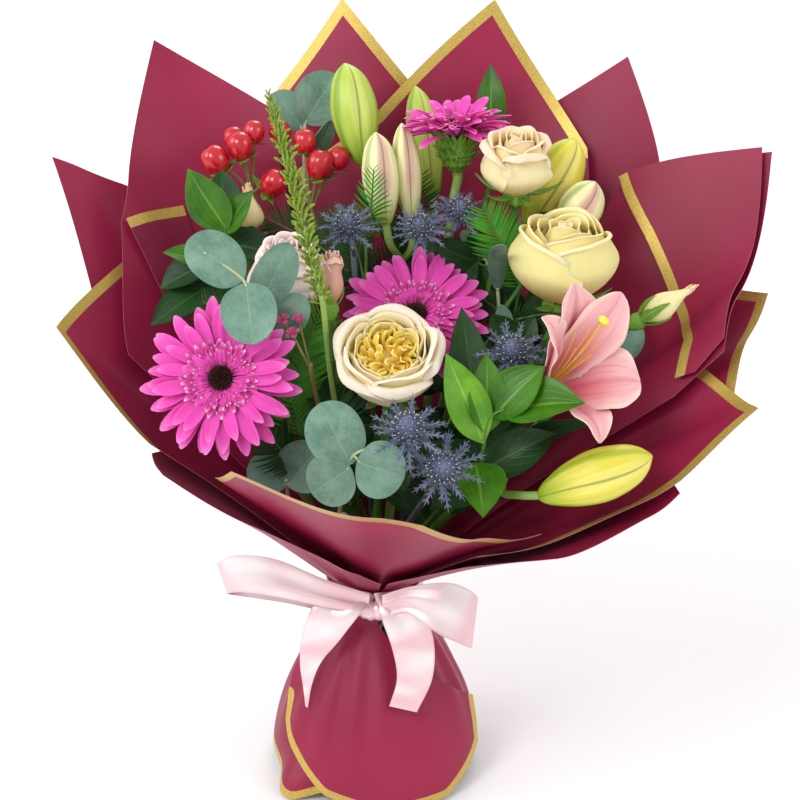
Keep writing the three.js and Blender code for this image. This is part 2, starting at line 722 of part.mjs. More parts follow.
function cupPoint(azimuth, slant, layer) {
  let radius = waistRadius + filmGap * layer;
  let z = waistTop - layer;
  for (let i = 0; i < cupSteps; i++) {
    const passed = ((i + 0.5) / cupSteps) * slant;
    const share = THREE.MathUtils.lerp(leanAtWaist, 1, Math.min(passed / leanSettles, 1));
    const lean = radians((leanAt(azimuth) + leanPerLayer * layer) * share);
    radius += (Math.sin(lean) * slant) / cupSteps;
    z += (Math.cos(lean) * slant) / cupSteps;
  }
  return around(azimuth, radius, z);
}

// A kick pulls one corner of the hem outwards: how far, at which azimuth, and how wide.
const noKick = [0, 0, 1];
const kickStart = 78; // the drop where the corner starts to turn out

function skirtPoint(azimuth, drop, layer, spread, [far, middle, wide]) {
  const share = drop / waistBottom;
  const nearness = Math.exp(-(((azimuth - middle) / wide) ** 2));
  const kick = far * nearness * THREE.MathUtils.smoothstep(drop, kickStart, waistBottom);
  const radius = waistRadius + filmGap * layer + spread * Math.sin((share * Math.PI) / 2) + kick;
  return around(azimuth, radius, THREE.MathUtils.lerp(waistBottom + layer, hemClearance, share));
}

// Sheet edges are straight before the film is wrapped: between two corners the slant follows
// a straight line across the unrolled cone.
function straightEdge([from, low], [to, high], azimuth) {
  const unroll = Math.sin(radians(leanAt((from + to) / 2)));
  const whole = radians(to - from) * unroll;
  const part = radians(azimuth - from) * unroll;
  return (low * high * Math.sin(whole)) / (low * Math.sin(part) + high * Math.sin(whole - part));
}

function heightAlong(corners, place) {
  const next = Math.max(corners.findIndex(([end]) => place <= end + 1e-6), 1);
  const [[from, low], [to, high]] = [corners[next - 1], corners[next]];
  return THREE.MathUtils.mapLinear(place, from, to, low, high);
}

function filmSheet({ layer, top, hem, spread, kick = noKick }) {
  const columns = [top[0]];
  for (let i = 1; i < top.length; i++) {
    const parts = Math.ceil((top[i][0] - top[i - 1][0]) / columnStep);
    for (let k = 1; k <= parts; k++) {
      const azimuth = THREE.MathUtils.lerp(top[i - 1][0], top[i][0], k / parts);
      columns.push([azimuth, straightEdge(top[i - 1], top[i], azimuth)]);
    }
  }
  const waist = (z) => columns.map(([azimuth]) => around(azimuth, waistRadius + filmGap * layer, z));
  const rows = [waist(hem ? waistBottom + layer : tuckBottom)];
  for (const share of cupRows) {
    rows.push(columns.map(([azimuth, slant]) => cupPoint(azimuth, slant * share, layer)));
  }
  if (hem) {
    const [first, last] = [top[0][0], top.at(-1)[0]];
    for (const share of skirtRows) {
      rows.unshift(
        columns.map(([azimuth]) => {
          const below = THREE.MathUtils.mapLinear(azimuth, first, last, hem[0][0], hem.at(-1)[0]);
          const place = THREE.MathUtils.lerp(azimuth, below, share);
          return skirtPoint(place, share * heightAlong(hem, below), layer, spread, kick);
        }),
      );
    }
  }
  return slab(rows, filmThickness);
}

// Corners are [azimuth, slant] along the top edge and [azimuth, drop] along the hem.
const film = {
  film_back_right: { layer: 0, top: [[36, 252], [42, 283], [65.5, 357], [90, 276], [112, 245]] },
  film_left_tall: { layer: 0, top: [[116, 288], [132.5, 349], [157, 254], [176, 190]] },
  film_right_tall: { layer: 0, top: [[-9, 206], [-7, 247], [14, 342], [31, 270]] },
  film_front_collar: {
    layer: 0,
    top: [[228, 160], [243, 208], [256, 192], [280, 181], [308, 132], [315, 138]],
  },
  film_back_left: {
    layer: 1,
    top: [[62, 262], [81.5, 299], [97, 352], [116, 289], [131, 250]],
    hem: [[48, 96], [90, 108], [134, 98]],
    spread: 39,
  },
  film_back_corner: { layer: 1, top: [[14, 250], [27, 289], [45, 349], [53, 306], [58, 290]] },
  film_left: {
    layer: 1,
    top: [[152, 226], [155, 233], [181, 236], [205, 168]],
    hem: [[138, 84], [170, 96], [200, 100], [229, 108], [252, 98]],
    spread: 39,
    kick: [15, 225, 12],
  },
  film_right_low: {
    layer: 1,
    top: [[303, 108], [315, 135], [334, 205], [343, 256], [355, 228], [371, 190]],
    hem: [[316, 92], [340, 96], [404, 88]],
    spread: 39,
  },
  film_left_dark: { layer: 2, top: [[140, 262], [144, 275], [154, 311], [164, 230], [178, 180]] },
  film_right_back: { layer: 2, top: [[-11, 200], [-8, 235], [5.7, 280], [10.6, 262], [32, 215]] },
  film_back_low: { layer: 2, top: [[37, 150], [90, 180], [135, 150]] },
  film_front_left: {
    layer: 2,
    top: [[184, 130], [199, 154], [215, 165], [237, 129], [262, 50], [275, 26]],
    hem: [[205, 52], [210, 66], [244, 100], [272, 108], [308, 106], [338, 82], [346, 58]],
    spread: 46,
  },
  film_front_right: { layer: 2, top: [[280, 26], [300, 96], [311, 155], [335, 198], [344, 180]] },
};

// ---------------------------------------------------------------- the ties
const ribbonRadius = 30.4;
const bandHalf = 6.5; // the ribbon is gathered where it goes round the waist
const bandHeight = 124;
const knotCentre = new Vector3(0, -36, bandHeight);
const knotSize = new Vector3(10, 6, 6.5); // half its width, depth and height
const twineRadius = 23.6;
const twineThick = 1.2;
const bandColumns = 26;

function ribbonBand() {
  const [inner, outer] = [ribbonRadius - ribbonThickness / 2, ribbonRadius + ribbonThickness / 2];
  const profile = [
    [inner, -bandHalf], [outer, -bandHalf], [outer, bandHalf], [inner, bandHalf], [inner, -bandHalf],
  ];
  const band = new THREE.LatheGeometry(profile.map(([r, y]) => new Vector2(r, y)), bandColumns);
  return band.rotateX(Math.PI / 2).translate(0, 0, bandHeight);
}

// A strip of ribbon between two edges, each a smooth curve through its places.
function ribbonStrip(stations) {
  const [one, other] = [0, 1].map(
    (edge) => new THREE.CatmullRomCurve3(stations.map((station) => onFace(station[edge]))),
  );
  const steps = stations.length - 1;
  const across = (i) => [one.getPoint(i / steps), other.getPoint(i / steps)];
  return slab(Array.from({ length: steps + 1 }, (_, i) => across(i)), ribbonThickness);
}

const ribbonStrips = [
  [ // left loop, out at the front and back behind
    [[-4, 102, 91], [-4, 88, 91]], [[-34, 112, 100], [-36, 94, 98]], [[-66, 125, 108], [-64, 100, 105]],
    [[-92, 127, 108], [-86, 103, 104]], [[-103, 121, 98], [-96, 102, 96]], [[-90, 122, 88], [-84, 100, 86]],
    [[-60, 118, 84], [-58, 96, 83]], [[-30, 107, 84], [-30, 90, 82]], [[-6, 99, 82], [-6, 87, 82]],
  ],
  [ // right loop, drooping
    [[4, 101, 91], [6, 87, 90]], [[24, 107, 99], [22, 90, 96]], [[48, 109, 104], [38, 78, 100]],
    [[62, 104, 101], [56, 69, 98]], [[66, 98, 92], [62, 67, 90]], [[50, 103, 84], [42, 75, 84]],
    [[24, 102, 82], [24, 86, 82]], [[4, 98, 82], [4, 87, 82]],
  ],
  [ // left tail
    [[-26, 108, 84], [0, 101, 86]], [[-41, 93, 91], [-10, 89, 95]], [[-48, 73, 84], [-24, 71, 89]],
    [[-49, 56, 76], [-35, 58, 79]], [[-47, 42, 71], [-41, 44, 73]], [[-45.5, 29, 69], [-44, 28, 69]],
  ],
  [ // right tail
    [[-1, 102, 86], [20, 105, 88]], [[4, 86, 91], [31, 90, 95]], [[11, 66, 88], [38, 71, 92]],
    [[14, 47, 85], [37, 47, 88]], [[9, 29, 84], [27, 25, 85]],
  ],
];

function ribbon() {
  const knot = new THREE.SphereGeometry(1, 10, 6).scale(...knotSize).translate(...knotCentre);
  return joined([ribbonBand(), knot, ...ribbonStrips.map(ribbonStrip)]);
}

const twine = () =>
  new THREE.TorusGeometry(twineRadius, twineThick, 5, 24).translate(0, 0, tieHeight);

// ---------------------------------------------------------------- materials and assembly
const finish = (color, roughness, metalness = 0) => () =>
  new THREE.MeshStandardMaterial({ color, roughness, metalness });

const finishes = {
  gerbera_pink: finish("#f04ab6", 0.55),
  rose_cream: finish("#f4e4ae", 0.6),
  rose_pale_pink: finish("#f3d0c6", 0.6),
  rose_dusty: finish("#d9a08f", 0.6),
  lily_green: finish("#b9c75a", 0.45),
  lily_pink: finish("#e9a9b0", 0.5),
  berry_red: finish("#c8141e", 0.2),
  holly_blue: finish("#6e7896", 0.7),
  leaf_grey_green: finish("#86ab98", 0.65),
  leaf_green: finish("#3f8a24", 0.4),
  goldenrod_green: finish("#a3b126", 0.6),
  waxflower_pink: finish("#e59aa8", 0.6),
  film_burgundy: finish("#932c48", 0.42),
  satin_pink: finish("#f2c4cc", 0.35),
  twine_straw: finish("#b89a62", 0.9),
};

const plantFinish = {
  gerbera: "gerbera_pink", rose: "rose_cream", rose_pale_pink: "rose_pale_pink",
  rose_dusty_bud: "rose_dusty", lily: "lily_green", lily_open: "lily_pink",
  hypericum: "berry_red", sea: "holly_blue", eucalyptus: "leaf_grey_green",
  ruscus: "leaf_green", fern: "leaf_green", goldenrod: "goldenrod_green", waxflower: "waxflower_pink",
};

const bouquet = new THREE.Group();
bouquet.name = "mixed_flower_bouquet";

function add(name, geometry, slot) {
  const mesh = new THREE.Mesh(geometry, finishes[slot]());
  mesh.name = name;
  mesh.material.name = slot;
  bouquet.add(mesh);
}

plants.forEach(({ name, solids }, i) => {
  add(name, joined([stemSolid(stems[i]), ...solids]), plantFinish[name] ?? plantFinish[name.split("_")[0]]);
});
for (const [name, sheet] of Object.entries(film)) add(name, joined([filmSheet(sheet)]), "film_burgundy");
add("twine", joined([twine()]), "twine_straw");
add("ribbon", ribbon(), "satin_pink");

export default bouquet;
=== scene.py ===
import math

import bpy
import numpy as np
from mathutils import Matrix, Vector


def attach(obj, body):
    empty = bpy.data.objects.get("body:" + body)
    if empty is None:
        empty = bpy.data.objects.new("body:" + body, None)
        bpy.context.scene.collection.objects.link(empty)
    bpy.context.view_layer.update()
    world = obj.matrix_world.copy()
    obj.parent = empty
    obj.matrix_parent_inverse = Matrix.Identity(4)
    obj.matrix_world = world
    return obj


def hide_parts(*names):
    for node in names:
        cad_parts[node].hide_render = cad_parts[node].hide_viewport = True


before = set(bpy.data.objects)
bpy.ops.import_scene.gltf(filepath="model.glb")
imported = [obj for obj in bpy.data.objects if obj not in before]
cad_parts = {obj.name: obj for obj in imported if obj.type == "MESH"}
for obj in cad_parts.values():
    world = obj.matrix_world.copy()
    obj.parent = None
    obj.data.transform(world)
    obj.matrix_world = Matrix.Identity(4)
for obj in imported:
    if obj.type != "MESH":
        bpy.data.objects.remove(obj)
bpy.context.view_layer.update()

mm = 0.001

# The bouquet is arranged for one spot in front of it. Places on its face are millimetres
# across, up and proud, as seen from that spot, and proud runs along the line of sight.
arrangedFor = {"distance": 2000, "elevation": 25, "aim": (16, 228), "lens": 138.46, "sensor": 36}
rise = math.radians(arrangedFor["elevation"])
across = np.array([1.0, 0, 0])
upFace = np.array([0, math.sin(rise), math.cos(rise)])
toEye = np.array([0, -math.cos(rise), math.sin(rise)])
upright = np.array([0, 0, 1.0])
fullTurn = 2 * math.pi
goldenTurn = math.radians(137.5)


def onFacePlane(a, h):
    return a * across + h * upFace


eye = onFacePlane(*arrangedFor["aim"]) + toEye * arrangedFor["distance"]


def onFace(place):
    a, h, proud = place
    flat = onFacePlane(a, h)
    return (flat + (eye - flat) * proud / arrangedFor["distance"]) * mm


def facing(turn, tip):
    # a direction turned to the right and tipped up from facing the eye, in degrees
    t, e = math.radians(turn), math.radians(tip)
    return across * math.sin(t) * math.cos(e) + upFace * math.sin(e) + toEye * math.cos(t) * math.cos(e)


def unit(v):
    # a vector, or each vector of an array, at length 1
    return v / np.maximum(np.linalg.norm(v, axis=-1, keepdims=True), 1e-12)


def smooth(x, low, high):
    t = np.clip((x - low) / (high - low), 0, 1)
    return t * t * (3 - 2 * t)


def frameOn(axis, hint=upright):
    # three columns: two directions square to the axis, then the axis
    z = unit(np.asarray(axis, float))
    y = np.cross(z, hint)
    y = unit(y) if np.linalg.norm(y) > 1e-3 else unit(np.cross(z, across))
    return np.stack([np.cross(y, z), y, z], axis=1)


def curveThrough(points, steps):
    # a smooth curve through the points, steps to each span
    p = np.asarray(points, float)
    p = np.vstack([2 * p[0] - p[1], p, 2 * p[-1] - p[-2]])
    out = []
    for i in range(1, len(p) - 2):
        a, b, c, d = p[i - 1:i + 3]
        for t in np.arange(steps) / steps:
            out.append(0.5 * (2 * b + (c - a) * t + (2 * a - 5 * b + 4 * c - d) * t**2
                              + (3 * b - a - 3 * c + d) * t**3))
    return np.array([*out, p[-2]])


print("stage: camera, floor and light")


def newObject(name, data):
    made = bpy.data.objects.new(name, data)
    bpy.context.scene.collection.objects.link(made)
    return made


def makeCamera():
    data = bpy.data.cameras.new("camera")
    data.lens, data.sensor_width = arrangedFor["lens"], arrangedFor["sensor"]
    data.clip_start, data.clip_end = 0.05, 30
    camera = newObject("camera", data)
    camera.location = eye * mm
    camera.rotation_euler = Matrix(np.stack([across, upFace, toEye], axis=1).tolist()).to_euler()
    bpy.context.scene.camera = camera


softLights = {
    "key": {"at": (-1.3, -1.9, 2.3), "size": 1.3, "power": 34},
    "side": {"at": (1.9, -1.0, 1.5), "size": 1.2, "power": 10},
    "left": {"at": (-2.1, -0.3, 1.5), "size": 1.4, "power": 16},
    "back": {"at": (0.4, 1.8, 1.9), "size": 1.2, "power": 16},
}
studio = {"world": 0.78, "lightsAim": (0, 0, 0.25), "floorRadius": 4.5, "floorSides": 48}


def softLight(name, at, size, power):
    data = bpy.data.lights.new(name, "AREA")
    data.shape, data.size, data.energy = "DISK", size, power
    lamp = newObject(name, data)
    lamp.location = at
    lamp.rotation_euler = (Vector(studio["lightsAim"]) - lamp.location).to_track_quat("-Z", "Y").to_euler()


class Plug:
    # an output of a node tree; sums and products of plugs add Math nodes to the tree
    def __init__(self, graph, socket):
        self.graph, self.socket = graph, socket

    def out(self, name):
        return Plug(self.graph, socketOf(self.socket.node.outputs, name))

    def math(self, operation, *others):
        return self.graph.math(operation, self, *others)

    def __add__(self, other):
        return self.math("ADD", other)

    def __sub__(self, other):
        return self.math("SUBTRACT", other)

    def __rsub__(self, other):
        return self.graph.math("SUBTRACT", other, self)

    def __mul__(self, other):
        return self.math("MULTIPLY", other)

    def __truediv__(self, other):
        return self.math("DIVIDE", other)

    def __rtruediv__(self, other):
        return self.graph.math("DIVIDE", other, self)

    def __pow__(self, other):
        return self.math("POWER", other)

    __radd__, __rmul__ = __add__, __mul__


def socketOf(sockets, name):
    return next(s for s in sockets if name in (s.identifier, s.name))


class Graph:
    # a node tree that is only added to through add()
    def __init__(self, tree):
        self.tree = tree

    def add(self, kind, values=None, out=None, **settings):
        node = self.tree.nodes.new(kind)
        for key, value in settings.items():
            setattr(node, key, value)
        for key, value in (values or {}).items():
            socket = socketOf(node.inputs, key)
            if isinstance(value, Plug):
                self.tree.links.new(value.socket, socket)
            else:
                socket.default_value = value
        first = next(s for s in node.outputs if s.enabled) if len(node.outputs) else None
        return Plug(self, socketOf(node.outputs, out) if out else first)

    def math(self, operation, *values):
        return self.add("ShaderNodeMath", dict(zip(("Value", "Value_001"), values)), operation=operation)

    def vector(self, x, y, z):
        return self.add("ShaderNodeCombineXYZ", {"X": x, "Y": y, "Z": z})

    def mix(self, share, one, other, blend="MIX"):
        colours = {"Factor_Float": share, "A_Color": rgba(one), "B_Color": rgba(other)}
        return self.add("ShaderNodeMix", colours, "Result_Color", data_type="RGBA", blend_type=blend)

    def noise(self, where, scale, detail=3, roughness=0.5):
        values = {"Vector": where, "Scale": scale, "Detail": detail, "Roughness": roughness}
        return self.add("ShaderNodeTexNoise", values, "Fac")

    def streaks(self, x, y, z):
        return self.noise(self.vector(x, y, z), 1, 3, 0.6)

    def fibres(self, where, scale):
        return self.noise(self.add("ShaderNodeMapping", {"Vector": where, "Scale": scale}), 1, 3, 0.6)

    def band(self, value, low, high):
        # 0 below low, 1 above high, smooth between
        limits = {"Value": value, "From Min": low, "From Max": high}
        return self.add("ShaderNodeMapRange", limits, interpolation_type="SMOOTHSTEP")

    def bump(self, height, strength, distance):
        return self.add("ShaderNodeBump", {"Height": height, "Strength": strength, "Distance": distance})


def rgba(colour):
    # "#rrggbb" as linear light, and a plug as it is
    if isinstance(colour, Plug):
        return colour
    parts = [int(colour[i:i + 2], 16) / 255 for i in (1, 3, 5)]
    return (*(c / 12.92 if c < 0.04045 else ((c + 0.055) / 1.055)**2.4 for c in parts), 1)


def waves(course):
    # a plug that swings from 0 to 1 and back with each whole number
    return (course * fullTurn).math("SINE") * 0.5 + 0.5


def fromMiddle(share):
    return (share - 0.5).math("ABSOLUTE")


def waxy(weight, radius, scale):
    # light that goes a little way into petals, buds and berries
    return {"Subsurface_Weight": weight, "Subsurface_Radius": radius, "Subsurface_Scale": scale}


finishes = {}


def newFinish(name):
    # an empty material: its graph, and the plugs that patterns start from
    material = finishes[name] = bpy.data.materials.new(name)
    material.use_nodes = True
    material.node_tree.nodes.clear()
    graph = Graph(material.node_tree)
    here = graph.add("ShaderNodeTexCoord", out="Object")
    uv = graph.add("ShaderNodeSeparateXYZ", {"Vector": here.out("UV")})
    tone = graph.add("ShaderNodeAttribute", out="Fac", attribute_name="tone")
    return graph, here, uv, uv.out("Y"), tone


def surface(graph, through=0.0, **values):
    # through is the share of the light that passes through a petal or leaf
    named = {key.replace("_", " "): value for key, value in values.items()}
    shader = graph.add("ShaderNodeBsdfPrincipled", named)
    if through:
        glow = graph.add("ShaderNodeBsdfTranslucent", {"Color": values["Base_Color"]})
        both = {"Fac": through, "Shader": shader, "Shader_001": glow}
        shader = graph.add("ShaderNodeMixShader", both)
    graph.add("ShaderNodeOutputMaterial", {"Surface": shader})


def makeStage():
    data = bpy.data.meshes.new("floor")
    sides = studio["floorSides"]
    turns = [fullTurn * i / sides for i in range(sides)]
    rim = [(studio["floorRadius"] * math.cos(a), studio["floorRadius"] * math.sin(a), 0) for a in turns]
    data.from_pydata(rim, [], [tuple(range(sides))])
    graph, here, *_ = newFinish("paleFloor")
    faint = graph.noise(here, 3, 2)
    surface(graph, Base_Color=graph.mix(faint * 0.03, "#f7f7f8", "#e9e9ea"), Roughness=0.85)
    data.materials.append(finishes["paleFloor"])
    newObject("floor", data)
    for name, lamp in softLights.items():
        softLight(name, **lamp)
    world = bpy.data.worlds.new("studio")
    world.use_nodes = True
    light = world.node_tree.nodes["Background"].inputs
    light["Color"].default_value = (1, 1, 1, 1)
    light["Strength"].default_value = studio["world"]
    bpy.context.scene.world = world
    bpy.context.scene.view_settings.view_transform = "Standard"


makeCamera()
makeStage()

print("stage: finishes")


def petalFinish(name, base, middle, rim, heart=None, streak=0.2, soft=0.22):
    # a petal's colour runs from its base to its rim, with fine lengthwise veins
    graph, here, u, v, tone = newFinish(name)
    run = v + (graph.noise(here, 90, 2) * 0.18 - 0.09)
    colour = graph.mix(graph.band(run, 0.0, 0.5), base, middle)
    colour = graph.mix(graph.band(run, 0.7, 1.04), colour, rim)
    if heart:
        inner = graph.mix(graph.band(tone, 0.0, 0.3), *heart)
        colour = graph.mix(graph.band(tone, 0.25, 0.6), inner, colour)
    vein = graph.streaks(u * 26, v * 1.6, tone * 7)
    colour = graph.mix(graph.band(vein, 0.35, 0.75) * streak, colour, "#ffffff", "SOFT_LIGHT")
    height = vein + graph.noise(here, 160, 2) * 0.7
    surface(graph, 0.1, Base_Color=colour, Roughness=0.6, Normal=graph.bump(height, 0.3, 0.0005),
            Specular_IOR_Level=0.3, **waxy(soft, (1.0, 0.5, 0.4), 0.004))


def leafFinish(name, dark, light, rib, veins, side=0.0, gloss=0.4, bloom=0.0, parallel=False,
               veinShare=0.12, ribShare=0.85, ribWidth=0.03):
    # a blade with a midrib down the middle of its width, and side or parallel veins
    graph, here, u, v, tone = newFinish(name)
    off = fromMiddle(u)
    patch = graph.noise(here, 60, 4, 0.6)
    colour = graph.mix(graph.band(patch, 0.25, 0.75), dark, light)
    colour = graph.mix(tone * 0.4, colour, light)
    wander = graph.noise(here, 120, 2) * 0.25
    vein = waves(u * veins if parallel else (v - off * side + wander * 0.2) * veins) ** 8
    colour = graph.mix(vein * veinShare, colour, rib)
    middle = 1 - graph.band(off, ribWidth * 0.4, ribWidth + (1 - v) * ribWidth * 0.6)
    colour = graph.mix(middle * (1 - v * 0.6) * ribShare, colour, rib)
    if bloom:
        # waxy dust, dark flecks and paler clouds: scale, detail, roughness, band, share, colour
        for scale, detail, rough, low, high, share, hue in [
                (900, 3, 0.7, 0.45, 0.8, bloom, "#b9d0c4"), (330, 5, 0.8, 0.6, 0.72, 0.5, "#3f5a48"),
                (45, 3, 0.6, 0.5, 0.8, 0.35, "#a9bfa2")]:
            marks = graph.noise(here, scale, detail, rough)
            colour = graph.mix(graph.band(marks, low, high) * share, colour, hue)
    height = patch * 0.4 - vein * 0.35 - middle * 0.8
    surface(graph, 0.12, Base_Color=colour, Roughness=graph.noise(here, 150, 2) * 0.2 + gloss,
            Normal=graph.bump(height, 0.4, 0.0006), Specular_IOR_Level=0.4)


def stalkFinish(name, low, high, gloss=0.5):
    graph, here, *_ = newFinish(name)
    lines = graph.fibres(here, (540, 540, 60))
    colour = graph.mix(graph.noise(here, 35, 3), low, high)
    colour = graph.mix(graph.band(lines, 0.4, 0.8) * 0.35, colour, "#dfe6b0", "SOFT_LIGHT")
    surface(graph, Base_Color=colour, Roughness=gloss, Normal=graph.bump(lines, 0.3, 0.0003))


def speckFinish(name, low, high, speck, gloss=0.5, scale=700):
    # small dense parts: each has its own tone, and a speckle of a third colour
    graph, here, _, v, tone = newFinish(name)
    colour = graph.mix(graph.band(v, 0.1, 0.95), low, high)
    colour = graph.mix(tone * 0.5, colour, high)
    dots = graph.noise(here, scale, 2, 0.6)
    colour = graph.mix(graph.band(dots, 0.55, 0.8) * 0.6, colour, speck)
    surface(graph, Base_Color=colour, Roughness=gloss, Normal=graph.bump(dots, 0.3, 0.0003))


def budFinish(name, rib, cheek, blush, blushShare):
    # a lily bud: green ribs down the middle of each outer petal, pale cheeks and a blush
    graph, _, u, v, tone = newFinish(name)
    off = fromMiddle(((u - v * 0.08) * 3).math("FRACT"))
    onRib = 1 - graph.band(off, 0.03, 0.13)
    onSeam = graph.band(off, 0.455, 0.49)
    streak = graph.streaks(u * 46, v * 1.8, tone * 7)
    colour = graph.mix(graph.band(v + streak * 0.2, 0.05, 0.5), rib, cheek)
    colour = graph.mix(onRib * 0.7, colour, rib)
    flush = graph.band(off + streak * 0.16, 0.3, 0.5) * graph.band(v, 0.1, 0.5) * blushShare
    colour = graph.mix(flush, colour, blush)
    colour = graph.mix(graph.band(streak, 0.45, 0.75) * 0.3, colour, "#ffffff", "SOFT_LIGHT")
    colour = graph.mix(onSeam * 0.6, colour, "#5f6f1c")
    height = streak - onSeam * 1.6 + onRib * 0.7
    surface(graph, Base_Color=colour, Roughness=0.38, Normal=graph.bump(height, 0.35, 0.0005),
            **waxy(0.1, (0.6, 1.0, 0.3), 0.003))


def berryFinish():
    graph, here, _, v, _ = newFinish("berryRed")
    mottle = graph.noise(here, 220, 3, 0.6)
    colour = graph.mix(mottle, "#a40618", "#dc142e")
    colour = graph.mix((1 - graph.band(v, 0.0, 0.25)) * 0.3, colour, "#e04a30")
    colour = graph.mix(graph.band(v, 0.93, 1.0), colour, "#3a1410")
    surface(graph, Base_Color=colour, Roughness=0.2, Coat_Weight=0.5, Coat_Roughness=0.12,
            Normal=graph.bump(mottle, 0.15, 0.0004), **waxy(0.1, (1.0, 0.2, 0.1), 0.003))


def lilyFinish():
    # the open lily: deep pink along the rib, pale at the margin, greenish in the throat
    graph, here, u, v, tone = newFinish("lilyPetal")
    off = fromMiddle(u) * 2
    margin = graph.band(off + graph.noise(here, 80, 3, 0.6) * 0.3, 0.55, 1.1)
    colour = graph.mix(graph.band(v, 0.15, 0.8), "#d4586c", "#f2b4b6")
    colour = graph.mix(margin * 0.8, colour, "#fad6cc")
    rib = 1 - graph.band(off, 0.02, 0.16)
    colour = graph.mix(rib * (1 - v * 0.6) * 0.6, colour, "#c8465c")
    colour = graph.mix((1 - graph.band(v, 0.05, 0.3)) * 0.6, colour, "#e3d890")
    vein = graph.streaks(u * 34, v * 2, tone * 5)
    colour = graph.mix(graph.band(vein, 0.4, 0.75) * 0.3, colour, "#c86c78", "MULTIPLY")
    surface(graph, Base_Color=colour, Roughness=0.45, Sheen_Weight=0.15,
            Normal=graph.bump(vein + rib * 0.8, 0.45, 0.0006), **waxy(0.15, (1.0, 0.4, 0.4), 0.004))


def filmFinish():
    # satin wrapping film with a printed gold border, measured from the cut edges; a low tone
    # is painted shade that darkens the film, used on the folded flap that lies in shadow
    graph, here, _, _, tone = newFinish("wrappingFilm")
    edge = graph.add("ShaderNodeAttribute", out="Vector", attribute_name="fromEdge")
    parts = graph.add("ShaderNodeSeparateXYZ", {"Vector": edge})
    nearest = parts.math("MINIMUM", parts.out("Y")).math("MINIMUM", parts.out("Z"))
    gold = 1 - graph.band(nearest, filmBorder - 0.12, filmBorder + 0.12)
    cloud = graph.noise(here, 9, 3, 0.5)
    fine = graph.noise(here, 2600, 2, 0.6)
    brushed = graph.noise(here, 1800, 2, 0.5)
    red = graph.mix(graph.band(cloud, 0.3, 0.7), "#861338", "#9a1a44")
    red = graph.mix(graph.band(fine, 0.4, 0.8) * 0.12, red, "#a8304f")
    # painted shade: a low tone darkens the red towards near black
    red = graph.mix(graph.band(tone, 0.1, 0.45), "#4f0a26", red)
    yellow = graph.mix(graph.band(brushed, 0.3, 0.7), "#b4943a", "#dabf6c")
    surface(graph, Base_Color=graph.mix(gold, red, yellow), Metallic=gold * 0.45,
            Roughness=0.42 - gold * 0.06 + fine * 0.06, Specular_IOR_Level=0.35,
            Normal=graph.bump(fine * 0.2 + cloud * 4 + graph.noise(here, 26, 2) * 2, 0.2, 0.001))
    graph, here, *_ = newFinish("filmEdge")
    colour = graph.mix(graph.noise(here, 300, 2), "#b0566c", "#d99aa6")
    surface(graph, Base_Color=colour, Roughness=0.5)


def satinFinish():
    # satin: fine warp lines along the ribbon, a woven edge, and painted sheen: soft bright bands across it
    # painted into the colour
    graph, here, u, v, _ = newFinish("satin")
    warp = waves(u * 220)
    slub = graph.fibres(here, (900, 900, 120))
    # painted highlight: broad bands across the ribbon, lightened towards near white, stand in for the satin's
    # sheen
    bend = graph.vector(u * 0.4, v * 4.5, 0.0)
    paintedSheen = graph.band(graph.noise(bend, 1, 1, 0.4), 0.4, 0.62)
    colour = graph.mix(slub * 0.2 + paintedSheen * 0.7, "#f4c6ce", "#fffaf8")
    edge = graph.band(fromMiddle(u), 0.455, 0.475)
    colour = graph.mix(edge * 0.35, colour, "#e8aab6")
    surface(graph, 0.1, Base_Color=colour, Roughness=0.26 + slub * 0.08, Metallic=slub * 0.1 + 0.3,
            Specular_IOR_Level=1.0, Normal=graph.bump(warp * 0.4 + slub, 0.12, 0.0002))


def twineFinish():
    graph, here, u, v, _ = newFinish("twineStraw")
    strand = waves(u * 3 + v * 160)
    fibre = graph.noise(here, 1500, 3, 0.7)
    colour = graph.mix(fibre, "#8f7142", "#d2b27a")
    # painted shade: darker colour in the grooves between the strands
    colour = graph.mix((1 - strand) * 0.5, colour, "#6b5230")
    surface(graph, Base_Color=colour, Roughness=0.9, Normal=graph.bump(strand + fibre * 0.5, 0.8, 0.0006))


filmBorder = 6.6  # millimetres of gold along a printed edge
petalFinish("gerberaPetal", "#d81c90", "#f04cb4", "#fb8ed2", streak=0.4)
petalFinish("gerberaFloret", "#a80e5e", "#d8409c", "#ffc4e4")
petalFinish("gardenPetal", "#ffdc84", "#fff1ba", "#ffe8d8", heart=("#ffcc38", "#ffea7c"), soft=0.3)
petalFinish("heartPetal", "#fdb62c", "#ffde60", "#fff4b0")
petalFinish("creamPetal", "#f8cb62", "#ffea9c", "#fff3c4", soft=0.3)
petalFinish("topPetal", "#f8cf78", "#ffe9b0", "#ffe0c6", heart=("#f8d47c", "#ffeab0"), soft=0.3)
petalFinish("palePetal", "#f6c6ba", "#fde0d8", "#fff0ec", soft=0.3)
petalFinish("dustyPetal", "#b87c68", "#d69e8c", "#eabfb0")
petalFinish("backPetal", "#e2ca7c", "#f8dea4", "#f4c4a0")
petalFinish("smallPetal", "#d8dc72", "#fcecac", "#fbc8a8")
leafFinish("eucalyptusLeaf", "#4a7563", "#7fa591", "#a9c3a4", 7, side=0.9, gloss=0.5, bloom=0.26,
           veinShare=0.06, ribShare=0.4, ribWidth=0.014)
leafFinish("ruscusLeaf", "#235c08", "#4a860c", "#7fae3c", 8, gloss=0.26, parallel=True, veinShare=0.1)
leafFinish("ruscusLime", "#4b9018", "#7fb72e", "#a8d060", 8, gloss=0.26, parallel=True, veinShare=0.1)
